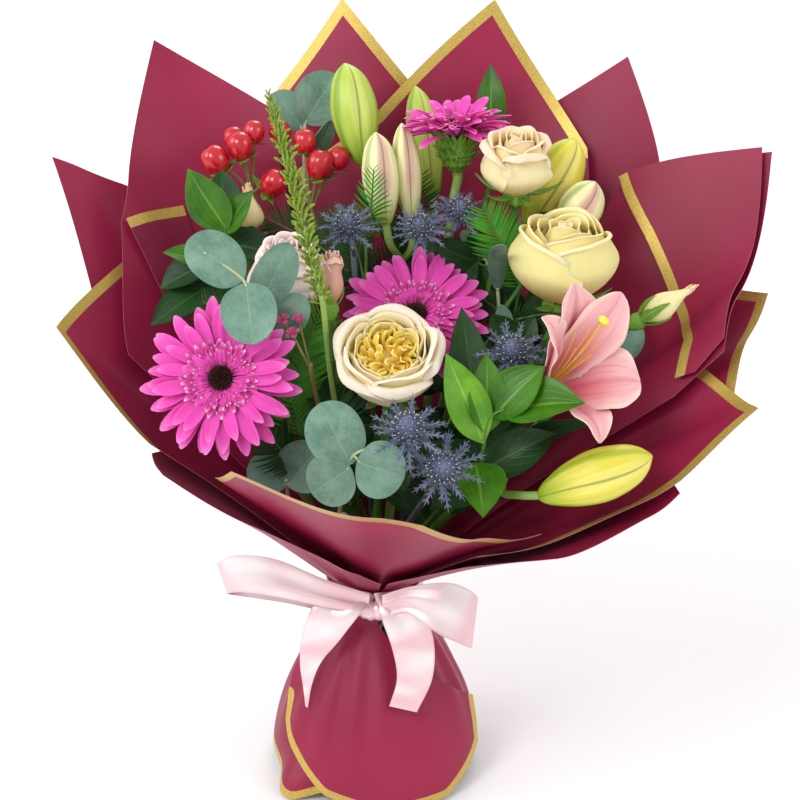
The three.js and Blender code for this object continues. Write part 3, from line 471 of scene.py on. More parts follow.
# painted shade: a near-black leaf green for leaves that fill the gaps among the stems and heads, where there
# is shade
leafFinish("darkLeaf", "#0c2a0a", "#1c4c14", "#3f6c2a", 8, side=0.8, gloss=0.35)
leafFinish("fernLeaf", "#237a14", "#4aa626", "#8ecc50", 6, side=0.5, gloss=0.4)
# painted shade: a near-black fern green for the fronds that fill the gaps behind the front frond
leafFinish("fernShade", "#0b2c08", "#1c5212", "#3f7426", 6, side=0.5, gloss=0.5)
leafFinish("calyxLeaf", "#467e1e", "#7cac3c", "#b0d068", 6, side=0.4, gloss=0.5)
leafFinish("hollyBract", "#434a5e", "#7c869e", "#abb2c4", 5, side=0.4, gloss=0.6)
stalkFinish("greenStalk", "#2f6420", "#578a34")
stalkFinish("paleStalk", "#6f9a44", "#9cb862")
stalkFinish("woodStalk", "#665a34", "#938850", gloss=0.65)
stalkFinish("paleTwig", "#98a878", "#ccd4aa")
stalkFinish("blueStalk", "#4c5a62", "#74838c", gloss=0.6)
stalkFinish("pistilStalk", "#cf9a3c", "#e4b75a", gloss=0.4)
speckFinish("gerberaEye", "#1c0508", "#3c140e", "#a0604a", gloss=0.6)
speckFinish("gerberaRing", "#5c1024", "#a83c5c", "#f0c0a0", gloss=0.6)
speckFinish("spikeLeaf", "#3a5c0a", "#84991a", "#bcbc3c", gloss=0.5)
speckFinish("hollyFloret", "#252a3c", "#5b6280", "#8f94a8", gloss=0.6)
speckFinish("hollyDot", "#b9cf8c", "#dfe9b8", "#ffffff", gloss=0.5)
speckFinish("stigma", "#c9bc20", "#f0e63a", "#fff27a", gloss=0.4)
speckFinish("waxPetal", "#b02a66", "#d65a8e", "#f0a8c0", gloss=0.5)
speckFinish("cutEnd", "#b9c48a", "#dfe2b8", "#8f9a5c", gloss=0.8, scale=900)
budFinish("lilyBudGreen", "#6c9a20", "#b2c84c", "#d4d878", 0.5)
budFinish("lilyBudPale", "#93ab3a", "#eeeab2", "#cf9a92", 0.85)
budFinish("lilyBudYellow", "#8fae1e", "#dcd046", "#ece07c", 0.6)
berryFinish()
lilyFinish()
filmFinish()
satinFinish()
twineFinish()

print("stage: surface tools")


def read(items, key, width=1, kind=float):
    # one number or vector of each item, as an array
    values = np.zeros(len(items) * width, kind)
    items.foreach_get(key, values)
    return values.reshape(-1, width) if width > 1 else values


def gridFaces(rows, cols, roundRows=False, roundCols=False):
    # the quads of a grid of points and their UVs; a round side closes on itself
    tall, wide = rows - (not roundRows), cols - (not roundCols)
    j, i = (part.ravel() for part in np.meshgrid(np.arange(tall), np.arange(wide), indexing="ij"))
    corners = [(j, i), (j, i + 1), (j + 1, i + 1), (j + 1, i)]
    quads = np.stack([a % rows * cols + b % cols for a, b in corners], axis=1)
    return quads, np.stack([np.stack([b / wide, a / tall], axis=1) for a, b in corners], axis=1)


def facesInwards(points, quads):
    # a closed patch whose faces look inwards has a negative volume
    a, b, c, d = (points[quads[:, i]] for i in range(4))
    return (np.cross(a, b) * c).sum() + (np.cross(a, c) * d).sum() < 0


class Skin:
    # the closed patches that one plant or one made thing is gathered from
    def __init__(self):
        self.points, self.corners, self.sizes, self.uvs = [], [], [], []
        self.tones, self.finish, self.total, self.names = [], [], 0, []

    def place(self, name):
        if name not in self.names:
            self.names.append(name)
        return self.names.index(name)

    def gather(self, points, corners, sizes, uvs, tones, name):
        self.points.append(points)
        self.corners.append(np.asarray(corners) + self.total)
        self.sizes.append(sizes)
        self.uvs.append(uvs)
        self.tones.append(np.broadcast_to(np.asarray(tones, float), (len(points),)))
        self.finish.append(np.full(len(sizes), self.place(name)))
        self.total += len(points)

    def quads(self, points, quads, uvs, name, tone=0.5):
        if facesInwards(points, quads):
            quads, uvs = quads[:, ::-1], uvs[:, ::-1]
        self.gather(points, quads.ravel(), np.full(len(quads), 4), uvs.reshape(-1, 2), tone, name)

    def ring(self, grid, name):
        # a grid of points that closes on itself both ways
        self.quads(grid.reshape(-1, 3), *gridFaces(*grid.shape[:2], True, True), name)

    def slab(self, grid, name, tone=0.5, thick=0.3 * mm, rimName=None):
        # a thin closed sheet on a grid of points, half its thickness on either side
        rows, cols = grid.shape[:2]
        normal = unit(np.cross(np.gradient(grid, axis=0), np.gradient(grid, axis=1))) * thick / 2
        points = np.concatenate([(grid + normal).reshape(-1, 3), (grid - normal).reshape(-1, 3)])
        front, _ = gridFaces(rows, cols)
        border = np.concatenate([np.arange(cols), np.arange(2, rows) * cols - 1,
                                 (rows - 1) * cols + np.arange(cols)[::-1],
                                 np.arange(rows - 2, 0, -1) * cols])
        after = np.roll(border, -1)
        rim = np.stack([after, border, border + rows * cols, after + rows * cols], axis=1)
        quads = np.concatenate([front, front[:, ::-1] + rows * cols, rim])
        share = np.meshgrid(np.linspace(0, 1, cols), np.linspace(0, 1, rows))
        uvs = np.tile(np.stack(share, axis=2).reshape(-1, 2), (2, 1))[quads]
        self.quads(points, quads, uvs, name, tone)
        if rimName:
            self.finish[-1][-len(rim):] = self.place(rimName)

    def tube(self, rings, name, tone=0.5):
        # a closed skin over rings of points; the end rings are drawn in to a small cap
        rows, cols = rings.shape[:2]
        quads, uvs = gridFaces(rows, cols, roundCols=True)
        points = np.concatenate([rings.reshape(-1, 3), rings[[0, -1]].mean(1)])
        k, after = np.arange(cols), np.roll(np.arange(cols), -1)
        foot, top = np.full(cols, rows * cols), (rows - 1) * cols
        caps = np.concatenate([[foot, after, k], [foot + 1, top + k, top + after]], axis=1).T
        capUvs = np.zeros((len(caps), 3, 2))
        capUvs[cols:, :, 1] = 1
        capUvs[:, :, 0] = np.tile(k / cols, 2)[:, None]
        if facesInwards(points, quads):
            quads, uvs, caps = quads[:, ::-1], uvs[:, ::-1], caps[:, ::-1]
        corners = np.concatenate([quads.ravel(), caps.ravel()])
        uvs = np.concatenate([uvs.reshape(-1, 2), capUvs.reshape(-1, 2)])
        self.gather(points, corners, np.repeat([4, 3], [len(quads), len(caps)]), uvs, tone, name)

    def take(self, mesh, name):
        # adds a finished mesh, such as the result of a node tree
        corners = read(mesh.loops, "vertex_index", kind=np.int64)
        uvs = read(mesh.uv_layers[0].data, "uv", 2) if mesh.uv_layers else np.zeros((len(corners), 2))
        tones = read(mesh.attributes["tone"].data, "value") if "tone" in mesh.attributes else 0.5
        sizes = read(mesh.polygons, "loop_total", kind=np.int64)
        self.gather(read(mesh.vertices, "co", 3), corners, sizes, uvs, tones, name)
        bpy.data.meshes.remove(mesh)

    def made(self, name, sharp=50):
        data = bpy.data.meshes.new(name)
        corners, sizes = np.concatenate(self.corners), np.concatenate(self.sizes)
        faces = [corners[end - n:end].tolist() for n, end in zip(sizes, np.cumsum(sizes))]
        data.from_pydata(np.concatenate(self.points).tolist(), [], faces)
        data.uv_layers.new(name="UVMap").data.foreach_set("uv", np.concatenate(self.uvs).ravel())
        data.attributes.new("tone", "FLOAT", "POINT").data.foreach_set("value", np.concatenate(self.tones))
        data.polygons.foreach_set("material_index", np.concatenate(self.finish))
        data.polygons.foreach_set("use_smooth", np.ones(len(sizes), bool))
        for key in self.names:
            data.materials.append(finishes[key])
        data.update()
        data.set_sharp_from_angle(angle=math.radians(sharp))
        return newObject(name, data)

    def piece(self, node, slot, name=None):
        # a node's name in camel case is its piece's name
        first, *rest = node.split("_")
        made = self.made(name or first + "".join(word.capitalize() for word in rest))
        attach(made, "root")
        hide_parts(node)
        return made

    def stamp(self):
        # a small object for a node tree to repeat; it is removed when the plants are done
        stamps.append(self.made("stamp", 70))
        return stamps[-1]


stamps = []


def strap(centres, normals, halfWidths, cols=7, cup=0.0, ruffle=0.0, waves=3.0, phase=0.0, keel=0.0,
          grooves=0.0):
    # a grid across a centre line: cup lifts the sides, ruffle waves them, keel sinks the rib
    centres = np.asarray(centres, float)
    tangent = unit(np.gradient(centres, axis=0))
    normals = unit(normals - tangent * (normals * tangent).sum(1, keepdims=True))
    over = np.cross(tangent, normals)
    s = np.linspace(-1, 1, cols)
    t = np.linspace(0, 1, len(centres))[:, None]
    w = np.asarray(halfWidths, float)[:, None]
    sway = np.sin(fullTurn * waves * t + phase + 2.2 * np.sign(s))
    lift = (cup + ruffle * sway) * s**2 * w
    lift = lift - keel * w * np.exp(-(s / 0.22)**2) + grooves * w * np.cos(s * 3 * math.pi)
    aside = np.sin(s) / math.sin(1) * w
    return centres[:, None] + over[:, None] * aside[..., None] + normals[:, None] * lift[..., None]


outlines = {  # half width as a share of the widest, by the share of the length
    "round": [(0, 0.1), (0.06, 0.42), (0.2, 0.8), (0.45, 1), (0.7, 0.93), (0.87, 0.68), (0.96, 0.38),
              (1, 0.04)],
    "pointed": [(0, 0.05), (0.06, 0.3), (0.2, 0.76), (0.4, 1), (0.6, 0.9), (0.8, 0.55), (0.93, 0.2),
                (1, 0.02)],
    "long": [(0, 0.34), (0.3, 0.66), (0.58, 0.96), (0.74, 1), (0.87, 0.82), (0.95, 0.5), (1, 0.14)],
    "petal": [(0, 0.35), (0.5, 0.8), (0.8, 1), (0.93, 0.75), (1, 0.2)],
    "needle": [(0, 0.5), (0.3, 1), (0.7, 0.72), (1, 0.04)],
    "lily": [(0, 0.3), (0.2, 0.6), (0.42, 0.93), (0.58, 1), (0.76, 0.84), (0.9, 0.5), (1, 0.06)],
    "bud": [(0, 0.16), (0.03, 0.3), (0.1, 0.5), (0.3, 0.84), (0.55, 1), (0.8, 0.8), (0.93, 0.46), (1, 0.05)],
    "lance": [(0, 0.3), (0.2, 0.9), (0.4, 1), (0.7, 0.6), (1, 0.03)],
    "rose": [(0, 0.12), (0.1, 0.5), (0.3, 0.9), (0.45, 1), (0.7, 0.82), (0.9, 0.38), (1, 0.03)],
}


def outline(kind, t):
    places, shares = curveThrough(outlines[kind], 8).T
    return np.interp(t, places, shares)


def blade(base, tip, width, normal, kind="round", rows=12, cols=9, bow=0.08, droop=0.0, **form):
    # a leaf or petal from base to tip, its upper side along normal
    axis = tip - base
    length = np.linalg.norm(axis)
    up = unit(normal - unit(axis) * normal.dot(unit(axis)))
    t = 0.5 - 0.5 * np.cos(math.pi * np.linspace(0, 1, rows))  # closer rows where an outline turns fastest
    arch = np.sin(np.pi * t) * bow - droop * t**3
    centres = base + axis * t[:, None] + up * (arch * length)[:, None]
    return strap(centres, up, outline(kind, t) * width / 2, cols, **form)


def roundRings(centres, radii, sides):
    # rings of points square to a path; the same two directions are carried along it
    centres = np.asarray(centres, float)
    tangent = unit(np.gradient(centres, axis=0))
    u = frameOn(tangent[0])[:, 0]
    angle = fullTurn * np.arange(sides)[:, None] / sides
    rings = []
    for point, axis, radius in zip(centres, tangent, np.broadcast_to(radii, (len(centres),))):
        u = unit(u - axis * u.dot(axis))
        rings.append(point + radius * (np.cos(angle) * u + np.sin(angle) * np.cross(axis, u)))
    return np.array(rings)


def turned(skin, foot, axis, heights, radii, sides, name, tone=0.5):
    # a turned body, from its heights along the axis and its radii there, in millimetres
    spots = foot + axis * (np.asarray(heights) * mm)[:, None]
    skin.tube(roundRings(spots, np.asarray(radii) * mm, sides), name, tone)


print("stage: node trees")


class NodeTree(Graph):
    # a geometry tree with named inputs, which run() sets by their identifiers
    def __init__(self, name, **inputs):
        super().__init__(bpy.data.node_groups.new(name, "GeometryNodeTree"))
        sockets = self.tree.interface
        sockets.new_socket("Geometry", in_out="OUTPUT", socket_type="NodeSocketGeometry")
        for kind, names in {"Geometry": "Geometry", **inputs, "Material": "Finish"}.items():
            for key in names.split():
                sockets.new_socket(key, in_out="INPUT", socket_type="NodeSocket" + kind)
        self.inputs = self.add("NodeGroupInput")

    def value(self, name):
        return self.inputs.out(name)

    def random(self, low, high, salt):
        values = {"Min_001": low, "Max_001": high, "Seed": self.value("Seed") + salt}
        return self.add("FunctionNodeRandomValue", values, "Value_001", data_type="FLOAT")

    def spread(self, points, rotation, grown):
        # the stamp on every point, grown by its share, with its own tone
        stamp = self.add("GeometryNodeObjectInfo", {"Object": self.value("Stamp")}, "Geometry")
        sized = {"Vector": self.value("Size"), "Scale": grown}
        scale = self.add("ShaderNodeVectorMath", sized, operation="SCALE")
        placed = {"Points": points, "Instance": stamp, "Rotation": rotation, "Scale": scale}
        copies = self.add("GeometryNodeInstanceOnPoints", placed)
        toned = {"Geometry": copies, "Name": "tone", "Value": self.random(0, 1, 9)}
        return self.add("GeometryNodeStoreNamedAttribute", toned, data_type="FLOAT", domain="INSTANCE")

    def cluster(self, x, y, z, rotation, grown):
        # stamps at the places, and then the whole of them put where it grows
        places = {"Count": self.value("Count"), "Position": self.vector(x, y, z)}
        copies = self.spread(self.add("GeometryNodePoints", places), rotation, grown)
        moved = {"Geometry": copies, "Translation": self.value("At"), "Rotation": self.value("Turn")}
        return self.close(self.add("GeometryNodeTransform", moved))

    def close(self, geometry):
        real = self.add("GeometryNodeRealizeInstances", {"Geometry": geometry})
        done = self.add("GeometryNodeSetMaterial", {"Geometry": real, "Material": self.value("Finish")})
        self.add("NodeGroupOutput", {"Geometry": done})
        return self

    def run(self, values, mesh=None):
        carrier = newObject("carrier", mesh or bpy.data.meshes.new("carrier"))
        modifier = carrier.modifiers.new("tree", "NODES")
        modifier.node_group = self.tree
        for item in self.tree.interface.items_tree:
            if item.in_out == "INPUT" and item.name in values:
                modifier[item.identifier] = values[item.name]
        carrier.update_tag()
        graph = bpy.context.evaluated_depsgraph_get()
        made = bpy.data.meshes.new_from_object(
            carrier.evaluated_get(graph), preserve_all_data_layers=True, depsgraph=graph)
        source = carrier.data
        bpy.data.objects.remove(carrier)
        bpy.data.meshes.remove(source)
        return made


def ringTree():
    # petals, bracts or florets side by side round an axis
    tree = NodeTree("petalRing", Object="Stamp", Int="Count Seed", Vector="Size At", Rotation="Turn",
                    Float="Radius Lift LiftSpread SizeSpread Phase Sway")
    value = tree.value
    step = fullTurn / value("Count")
    angle = tree.add("GeometryNodeInputIndex") * step + value("Phase")
    angle = angle + tree.random(-1, 1, 1) * step * value("Sway")
    lift = value("Lift") + tree.random(-1, 1, 2) * value("LiftSpread")
    rotation = tree.vector(tree.random(-0.35, 0.35, 3), lift * -1.0, angle)
    grown = 1 + tree.random(-1, 1, 4) * value("SizeSpread")
    return tree.cluster(angle.math("COSINE") * value("Radius"), angle.math("SINE") * value("Radius"), 0.0,
                        rotation, grown)


def domeTree():
    # florets in a golden spiral over a dome, standing square to it
    tree = NodeTree("floretDome", Object="Stamp", Int="Count Seed", Vector="Size At", Rotation="Turn",
                    Float="Radius Cover Stretch RimSize From")
    value = tree.value
    index = tree.add("GeometryNodeInputIndex")
    share = value("From") + (index + 0.5) / value("Count") * (1 - value("From"))
    polar = share ** 0.5 * value("Cover")
    angle = index * goldenTurn
    out = polar.math("SINE") * value("Radius")
    high = polar.math("COSINE") * value("Radius") * value("Stretch")
    rotation = tree.vector(0.0, polar + tree.random(-0.12, 0.12, 2), angle)
    grown = (1 + share * (value("RimSize") - 1)) * (1 + tree.random(-0.15, 0.15, 4))
    return tree.cluster(angle.math("COSINE") * out, angle.math("SINE") * out, high, rotation, grown)


def stalkTree():
    # leaflets along a stalk, turned by a fixed step from one to the next
    tree = NodeTree("leafletStalk", Object="Stamp", Int="Count Seed", Vector="Size Facing",
                    Float="Step Splay SplaySpread TipSize FootSize")
    value = tree.value
    curve = tree.add("GeometryNodeMeshToCurve", {"Mesh": value("Geometry")})
    along = tree.add("GeometryNodeCurveToPoints", {"Curve": curve, "Count": value("Count")}, mode="COUNT")
    index = tree.add("GeometryNodeInputIndex")
    share = index / value("Count")
    axes = {"Primary Axis": along.out("Tangent"), "Secondary Axis": value("Facing")}
    standing = tree.add("FunctionNodeAxesToRotation", axes, primary_axis="Z", secondary_axis="Y")
    splay = value("Splay") * (1 - share * 0.35) + tree.random(-1, 1, 2) * value("SplaySpread")
    turn = index * value("Step") + tree.random(-0.12, 0.12, 3)
    turned = {"Rotation": standing, "Rotate By": tree.vector(0.0, splay, turn)}
    rotation = tree.add("FunctionNodeRotateRotation", turned, rotation_space="LOCAL")
    middle = (share * math.pi).math("SINE")
    ends = value("FootSize") + share * (value("TipSize") - value("FootSize"))
    grown = (ends + (1 - ends) * middle) * (1 + tree.random(-0.12, 0.12, 4))
    return tree.close(tree.spread(along, rotation, grown))


def sweepTree():
    # stems and twigs: a round section swept along each line, thick as the line's radius says
    tree = NodeTree("stemSweep", Int="Sides", Float="Spacing")
    curve = tree.add("GeometryNodeMeshToCurve", {"Mesh": tree.value("Geometry")})
    spaced = {"Curve": curve, "Length": tree.value("Spacing")}
    curve = tree.add("GeometryNodeResampleCurve", spaced, mode="LENGTH")
    radius = tree.add("GeometryNodeInputNamedAttribute", {"Name": "radius"}, data_type="FLOAT")
    curve = tree.add("GeometryNodeSetCurveRadius", {"Curve": curve, "Radius": radius})
    circle = {"Resolution": tree.value("Sides"), "Radius": 1.0}
    section = tree.add("GeometryNodeCurvePrimitiveCircle", circle)
    swept = {"Curve": curve, "Profile Curve": section, "Scale": radius, "Fill Caps": True}
    return tree.close(tree.add("GeometryNodeCurveToMesh", swept))


petalRing, floretDome, leafletStalk, stemSweep = ringTree(), domeTree(), stalkTree(), sweepTree()


def lineMesh(path, radii=1.0):
    # a chain of edges, with a radius at each point
    data = bpy.data.meshes.new("line")
    data.from_pydata(np.asarray(path).tolist(), [(i, i + 1) for i in range(len(path) - 1)], [])
    radii = np.array(np.broadcast_to(np.asarray(radii, float), (len(path),)))
    data.attributes.new("radius", "FLOAT", "POINT").data.foreach_set("value", radii)
    return data


def sweep(skin, path, radii, name, steps=0, sides=8, spacing=2.5):
    # a stalk along a path, or along the curve through its points where steps are given; millimetres
    line = curveThrough(path, steps) if steps else path
    values = {"Sides": sides, "Spacing": spacing * mm, "Finish": finishes[name]}
    skin.take(stemSweep.run(values, lineMesh(line, np.asarray(radii) * mm)), name)


def repeat(skin, tree, stamp, size, values, place=None, mesh=None, name=None):
    # a tree's copies of a stamp, in the stamp's own finish if none is named; size in millimetres
    name = name or stamp.data.materials[0].name
    values.update({"Stamp": stamp, "Size": tuple(np.broadcast_to(size, 3) * mm), "Finish": finishes[name]})
    if place:
        at, turn = place
        values.update({"At": tuple(at), "Turn": tuple(Matrix(turn.tolist()).to_euler())})
    skin.take(tree.run(values, mesh), name)


def ringOf(skin, stamp, at, turn, count, radius, lift, size, seed,
           liftSpread=0.1, sizeSpread=0.08, phase=0.0, sway=0.25):
    repeat(skin, petalRing, stamp, size, {
        "Count": count, "Radius": radius * mm, "Lift": math.radians(lift), "LiftSpread": liftSpread,
        "SizeSpread": sizeSpread, "Phase": phase, "Sway": sway, "Seed": seed}, (at, turn))


def domeOf(skin, stamp, at, turn, count, radius, cover, stretch, size, seed, rim=1.0, start=0.0):
    repeat(skin, floretDome, stamp, size, {
        "Count": count, "Radius": radius * mm, "Cover": math.radians(cover), "Stretch": stretch,
        "RimSize": rim, "From": start, "Seed": seed}, (at, turn))


def leafletsAlong(skin, stamp, name, path, count, step, splay, size, seed, tip, foot, spread):
    repeat(skin, leafletStalk, stamp, size, {
        "Count": count, "Step": math.radians(step), "Splay": math.radians(splay), "SplaySpread": spread,
        "TipSize": tip, "FootSize": foot, "Facing": tuple(toEye), "Seed": seed}, None, lineMesh(path), name)


def stampBlade(finish, kind, width, rows=6, cols=5, thick=0.012, axis=0, **form):
    # a blade of length 1 that grows along X, or along Z where axis is 2, to be scaled
    skin, ways = Skin(), np.eye(3)
    face = ways[1] if axis == 2 else ways[2]
    skin.slab(blade(np.zeros(3), ways[axis], width, face, kind, rows, cols, **form), finish, 0.5, thick)
    return skin.stamp()


print("stage: stems")
stemRules = {"level": 121.5 / 4, "sides": 5}  # millimetres between the levels of the spiral


def stemPath(node):
    # the middle of the stem on each level, from the node's own rings of corners
    points = np.unique(np.round(read(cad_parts[node].data.vertices, "co", 3), 6), axis=0)
    path = []
    for level in range(20):
        ring = points[np.abs(points[:, 2] - level * stemRules["level"] * mm) < 0.02 * mm]
        if len(ring) != stemRules["sides"]:
            break
        path.append(ring.mean(0))
    return path


def growStem(skin, node, radius, neck, end, name="greenStalk", swell=1.0):
    path = [*stemPath(node), neck, end]
    line = curveThrough(path, 5)
    radii = np.full(len(line), float(radius))
    radii[-8:] *= np.linspace(1, swell, 8)
    sweep(skin, line, radii, name, sides=10)
    skin.points[-1][:, 2] = np.maximum(skin.points[-1][:, 2], 0)
    turned(skin, line[0], upright, [0, 0.25], [radius * 0.97] * 2, 10, "cutEnd")
    return path


print("stage: gerberas")
gerberas = {
    "gerbera_left": {
        "place": (-100, 242, 200), "face": (-6, 4), "radius": 47, "stem": 3, "seed": 3, "cup": 0},
    "gerbera_middle": {
        "place": (26, 283, 138), "face": (0, 28), "radius": 46, "stem": 3, "seed": 8, "cup": 2},
    "gerbera_top": {
        "place": (52, 405, 112), "face": (-10, 74), "radius": 37, "stem": 2.8, "seed": 5, "cup": 8,
        "bell": 1.3, "loose": 0.36},
}
gerberaRows = [  # count, length as a share of the radius, lift in degrees, height, width
    (20, 1.0, 7, -5, 0.86), (19, 0.95, 14, -3.6, 0.86), (16, 0.86, 20, -2.4, 0.8),
    (22, 0.5, 30, -1.2, 0.5), (26, 0.4, 40, -0.3, 0.36),
]
gerberaFlorets = [(48, 12, 30, 12), (44, 11.5, 42, 9.5), (38, 11, 56, 6.5)]  # count, start, lift, length
gerberaBracts = [  # height, start, lift, length
    (-20.4, 4.2, 50, 11), (-17.8, 7.2, 64, 12), (-14.4, 9.2, 78, 12), (-9.5, 10, 72, 10)]
gerberaCone = [(-21, 2.8), (-20, 4.2), (-17.5, 6.8), (-14, 8.6), (-10, 9.3), (-6, 8.8), (-4, 7)]
gerberaStamps = {
    "petal": stampBlade("gerberaPetal", "long", 0.255, 12, 9, bow=0.05, droop=0.07, cup=0.22, keel=0.1,
                        grooves=0.05),
    "floret": stampBlade("gerberaFloret", "petal", 0.3, 4, 3, thick=0.04, bow=0.1, cup=0.5),
    "hair": stampBlade("gerberaRing", "petal", 0.24, 3, 3, thick=0.08, axis=2, bow=0.1),
    "eye": stampBlade("gerberaEye", "needle", 0.4, 3, 3, thick=0.2, axis=2, bow=0.0),
    "bract": stampBlade("calyxLeaf", "pointed", 0.3, 5, 5, thick=0.04, bow=0.16, cup=0.3),
}
sideways = np.array([0.9, 0.1, 0.4])  # where the count of petals begins


def growGerbera(node, place, face, radius, stem, seed, cup, bell=1.0, loose=0.07):
    # bell makes the calyx deeper, loose lets the ray petals lift and droop
    skin = Skin()
    centre, axis = onFace(place), facing(*face)
    turn, wide = frameOn(axis, sideways), bell**0.6

    def at(height):
        return centre + axis * height * mm

    for row, (count, length, lift, height, width) in enumerate(gerberaRows):
        size = (radius * length - 7, radius * 0.86 * width, radius * 0.9)
        ringOf(skin, gerberaStamps["petal"], at(height), turn, count, 6.5, lift + cup, size, seed + row,
               liftSpread=loose, sizeSpread=0.07, phase=row * 0.13, sway=0.3)
    for row, (count, start, lift, length) in enumerate(gerberaFlorets):
        ringOf(skin, gerberaStamps["floret"], at(0.4 * row), turn, count, start, lift + cup, length,
               seed + 11 + row, liftSpread=0.28, sizeSpread=0.28)
    domeOf(skin, gerberaStamps["hair"], at(-2.4), turn, 260, 13, 74, 0.42, (5, 5, 5.5), seed, 1.1, 0.16)
    domeOf(skin, gerberaStamps["eye"], at(-2.8), turn, 150, 7.4, 44, 0.6, (3.4, 3.4, 4.2), seed)
    cushion = np.sin(np.linspace(0, 1, 8) * math.pi / 2)[::-1]
    turned(skin, centre, axis, np.linspace(-9, 0.6, 8), cushion * 9 + 0.3, 20, "gerberaEye")
    heights, radii = np.array(gerberaCone).T
    turned(skin, centre, axis, heights * bell, radii * wide, 24, "calyxLeaf")
    for row, (height, start, lift, length) in enumerate(gerberaBracts):
        ringOf(skin, gerberaStamps["bract"], at(height * bell), turn, 20, start * wide, lift,
               (length * bell, 15, 15), seed + 20 + row, sizeSpread=0.12, phase=row * 0.16)
    growStem(skin, node, stem, at(-14 * bell - 14), at(-14 * bell - 8), "paleStalk", 1.2)
    skin.piece(node, "gerbera_pink")


for node, plan in gerberas.items():
    growGerbera(node, **plan)

print("stage: roses")
# each layer of petals: how many, radius and top as shares, half width in degrees, rolled lip
roses = {
    "rose_garden": {
        "at": (8, 266, 214), "face": (0, 36), "radius": 33.5, "depth": 42, "stem": 2.8,
        "finish": "gardenPetal", "slot": "rose_cream", "seed": 4, "heart": True,
        "shut": 0.1, "open": 0.6, "flare": 0.03, "ruffle": 0.022, "layers": [
            (5, 0.62, 0.84, 54, 0.02), (5, 0.75, 0.92, 54, 0.04), (5, 0.88, 0.94, 56, 0.065),
            (5, 1.0, 0.84, 56, 0.1)]},
    "rose_pale_pink": {
        "at": (-58, 330, 160), "face": (-5, 52), "radius": 30, "depth": 43.5, "stem": 2.8,
        "finish": "palePetal", "slot": "rose_pale_pink", "seed": 11,
        "shut": 0.6, "open": 0.35, "ruffle": 0.015, "layers": [
            (3, 0.3, 0.98, 120, 0.01), (3, 0.5, 0.99, 100, 0.02), (4, 0.72, 0.98, 76, 0.03),
            (5, 0.88, 0.93, 60, 0.05), (5, 1.0, 0.82, 52, 0.07)]},
    "rose_cream_top": {
        "at": (92, 400, 150), "face": (0, 58), "radius": 28, "depth": 40, "stem": 2.8,
        "finish": "topPetal", "slot": "rose_cream", "seed": 21,
        "shut": 0.55, "open": 0.45, "flare": 0.04, "point": 0.03, "ruffle": 0.02, "layers": [
            (3, 0.24, 1.0, 130, 0.01), (3, 0.42, 1.0, 104, 0.02), (3, 0.64, 0.98, 88, 0.04),
            (4, 0.86, 0.96, 68, 0.06), (4, 1.0, 0.9, 62, 0.1)]},
    "rose_cream_right": {
        "at": (123, 342, 165), "face": (4, 60), "radius": 36, "depth": 52, "stem": 2.8,
        "finish": "creamPetal", "slot": "rose_cream", "seed": 33,
        "shut": 0.58, "open": 0.62, "point": 0.03, "ruffle": 0.015, "bend": 0.62, "layers": [
            (3, 0.26, 0.98, 130, 0.01), (3, 0.46, 1.0, 110, 0.012), (3, 0.72, 1.0, 92, 0.015),
            (3, 0.88, 1.0, 88, 0.02), (3, 0.98, 0.96, 82, 0.028)]},
}


petalRules = {"rows": 22, "cols": 19, "lipFrom": 0.8, "thick": 0.6}


def rosePetal(plan, layer, share, turn, wobble):
    # one cupped petal with a rolled lip, as a grid along and across it
    _, reach, top, half, roll = layer
    t = np.linspace(0, 1, petalRules["rows"])[:, None]
    s = np.linspace(-1, 1, petalRules["cols"])[None, :]
    body = np.minimum(t / petalRules["lipFrom"], 1)
    past = np.maximum(t - petalRules["lipFrom"], 0)
    lip = past / (1 - petalRules["lipFrom"]) * math.pi * (1 - 0.6 * s**2) * share
    swell = np.sin(np.minimum(body / 0.68, 1) * math.pi / 2)**0.85
    inward = plan["shut"] * (1 - share * plan["open"]) * smooth(body, plan.get("bend", 0.5), 1.0)
    outward = plan.get("flare", 0) * share**2 * smooth(body, 0.5, 1)
    r = (reach - 2 * roll * share) * (0.1 + 0.9 * swell - inward + outward)
    r = (r + roll * (1 - np.cos(lip))) * (1 + 0.08 * s * body)
    r = r + plan["ruffle"] * t**3 * np.sin(s * 6 + wobble[2] * 6) + wobble[3] * 0.015 * t
    width = 0.36 + 0.64 * np.sin(np.minimum(t / 0.6, 1) * math.pi / 2)
    width = width * (1 - 0.14 * smooth(t, 0.82, 1.0))
    angle = turn + s * math.radians(half) * width * (1 + wobble[1] * 0.08)
    high = top - roll - wobble[0] * 0.02
    z = body * high * (1 - 0.3 * np.abs(s)**2.6 * t) + roll * np.sin(lip) + past * (1 - share) * 0.25
    z = z + plan.get("point", 0) * share * smooth(t, 0.7, 1) * np.exp(-(s / 0.18)**2)
    return headGrid(plan, r * np.cos(angle), r * np.sin(angle), z)


def headGrid(plan, *places):
    # places as shares of a head's radius and depth, as a grid in metres
    size = np.array([plan["radius"], plan["radius"], plan["depth"]]) * mm
    return np.stack(np.broadcast_arrays(*places), axis=2) * size


def layered(skin, plan, base, turn, seed, start=0.0):
    dice = np.random.default_rng(seed)
    layers = plan["layers"]
    for row, layer in enumerate(layers):
        share = row / (len(layers) - 1)
        for k in range(layer[0]):
            way = start + fullTurn * (k + 0.14 * dice.uniform(-1, 1)) / layer[0] + row * goldenTurn
            grid = rosePetal(plan, layer, share, way, dice.uniform(-1, 1, 4))
            tone = 0.45 + 0.5 * share
            skin.slab(base + grid @ turn.T, plan["finish"], tone, petalRules["thick"] * mm)


heartStamp = stampBlade("heartPetal", "petal", 0.5, 6, 5, thick=0.06, axis=2, bow=0.2, cup=0.6)


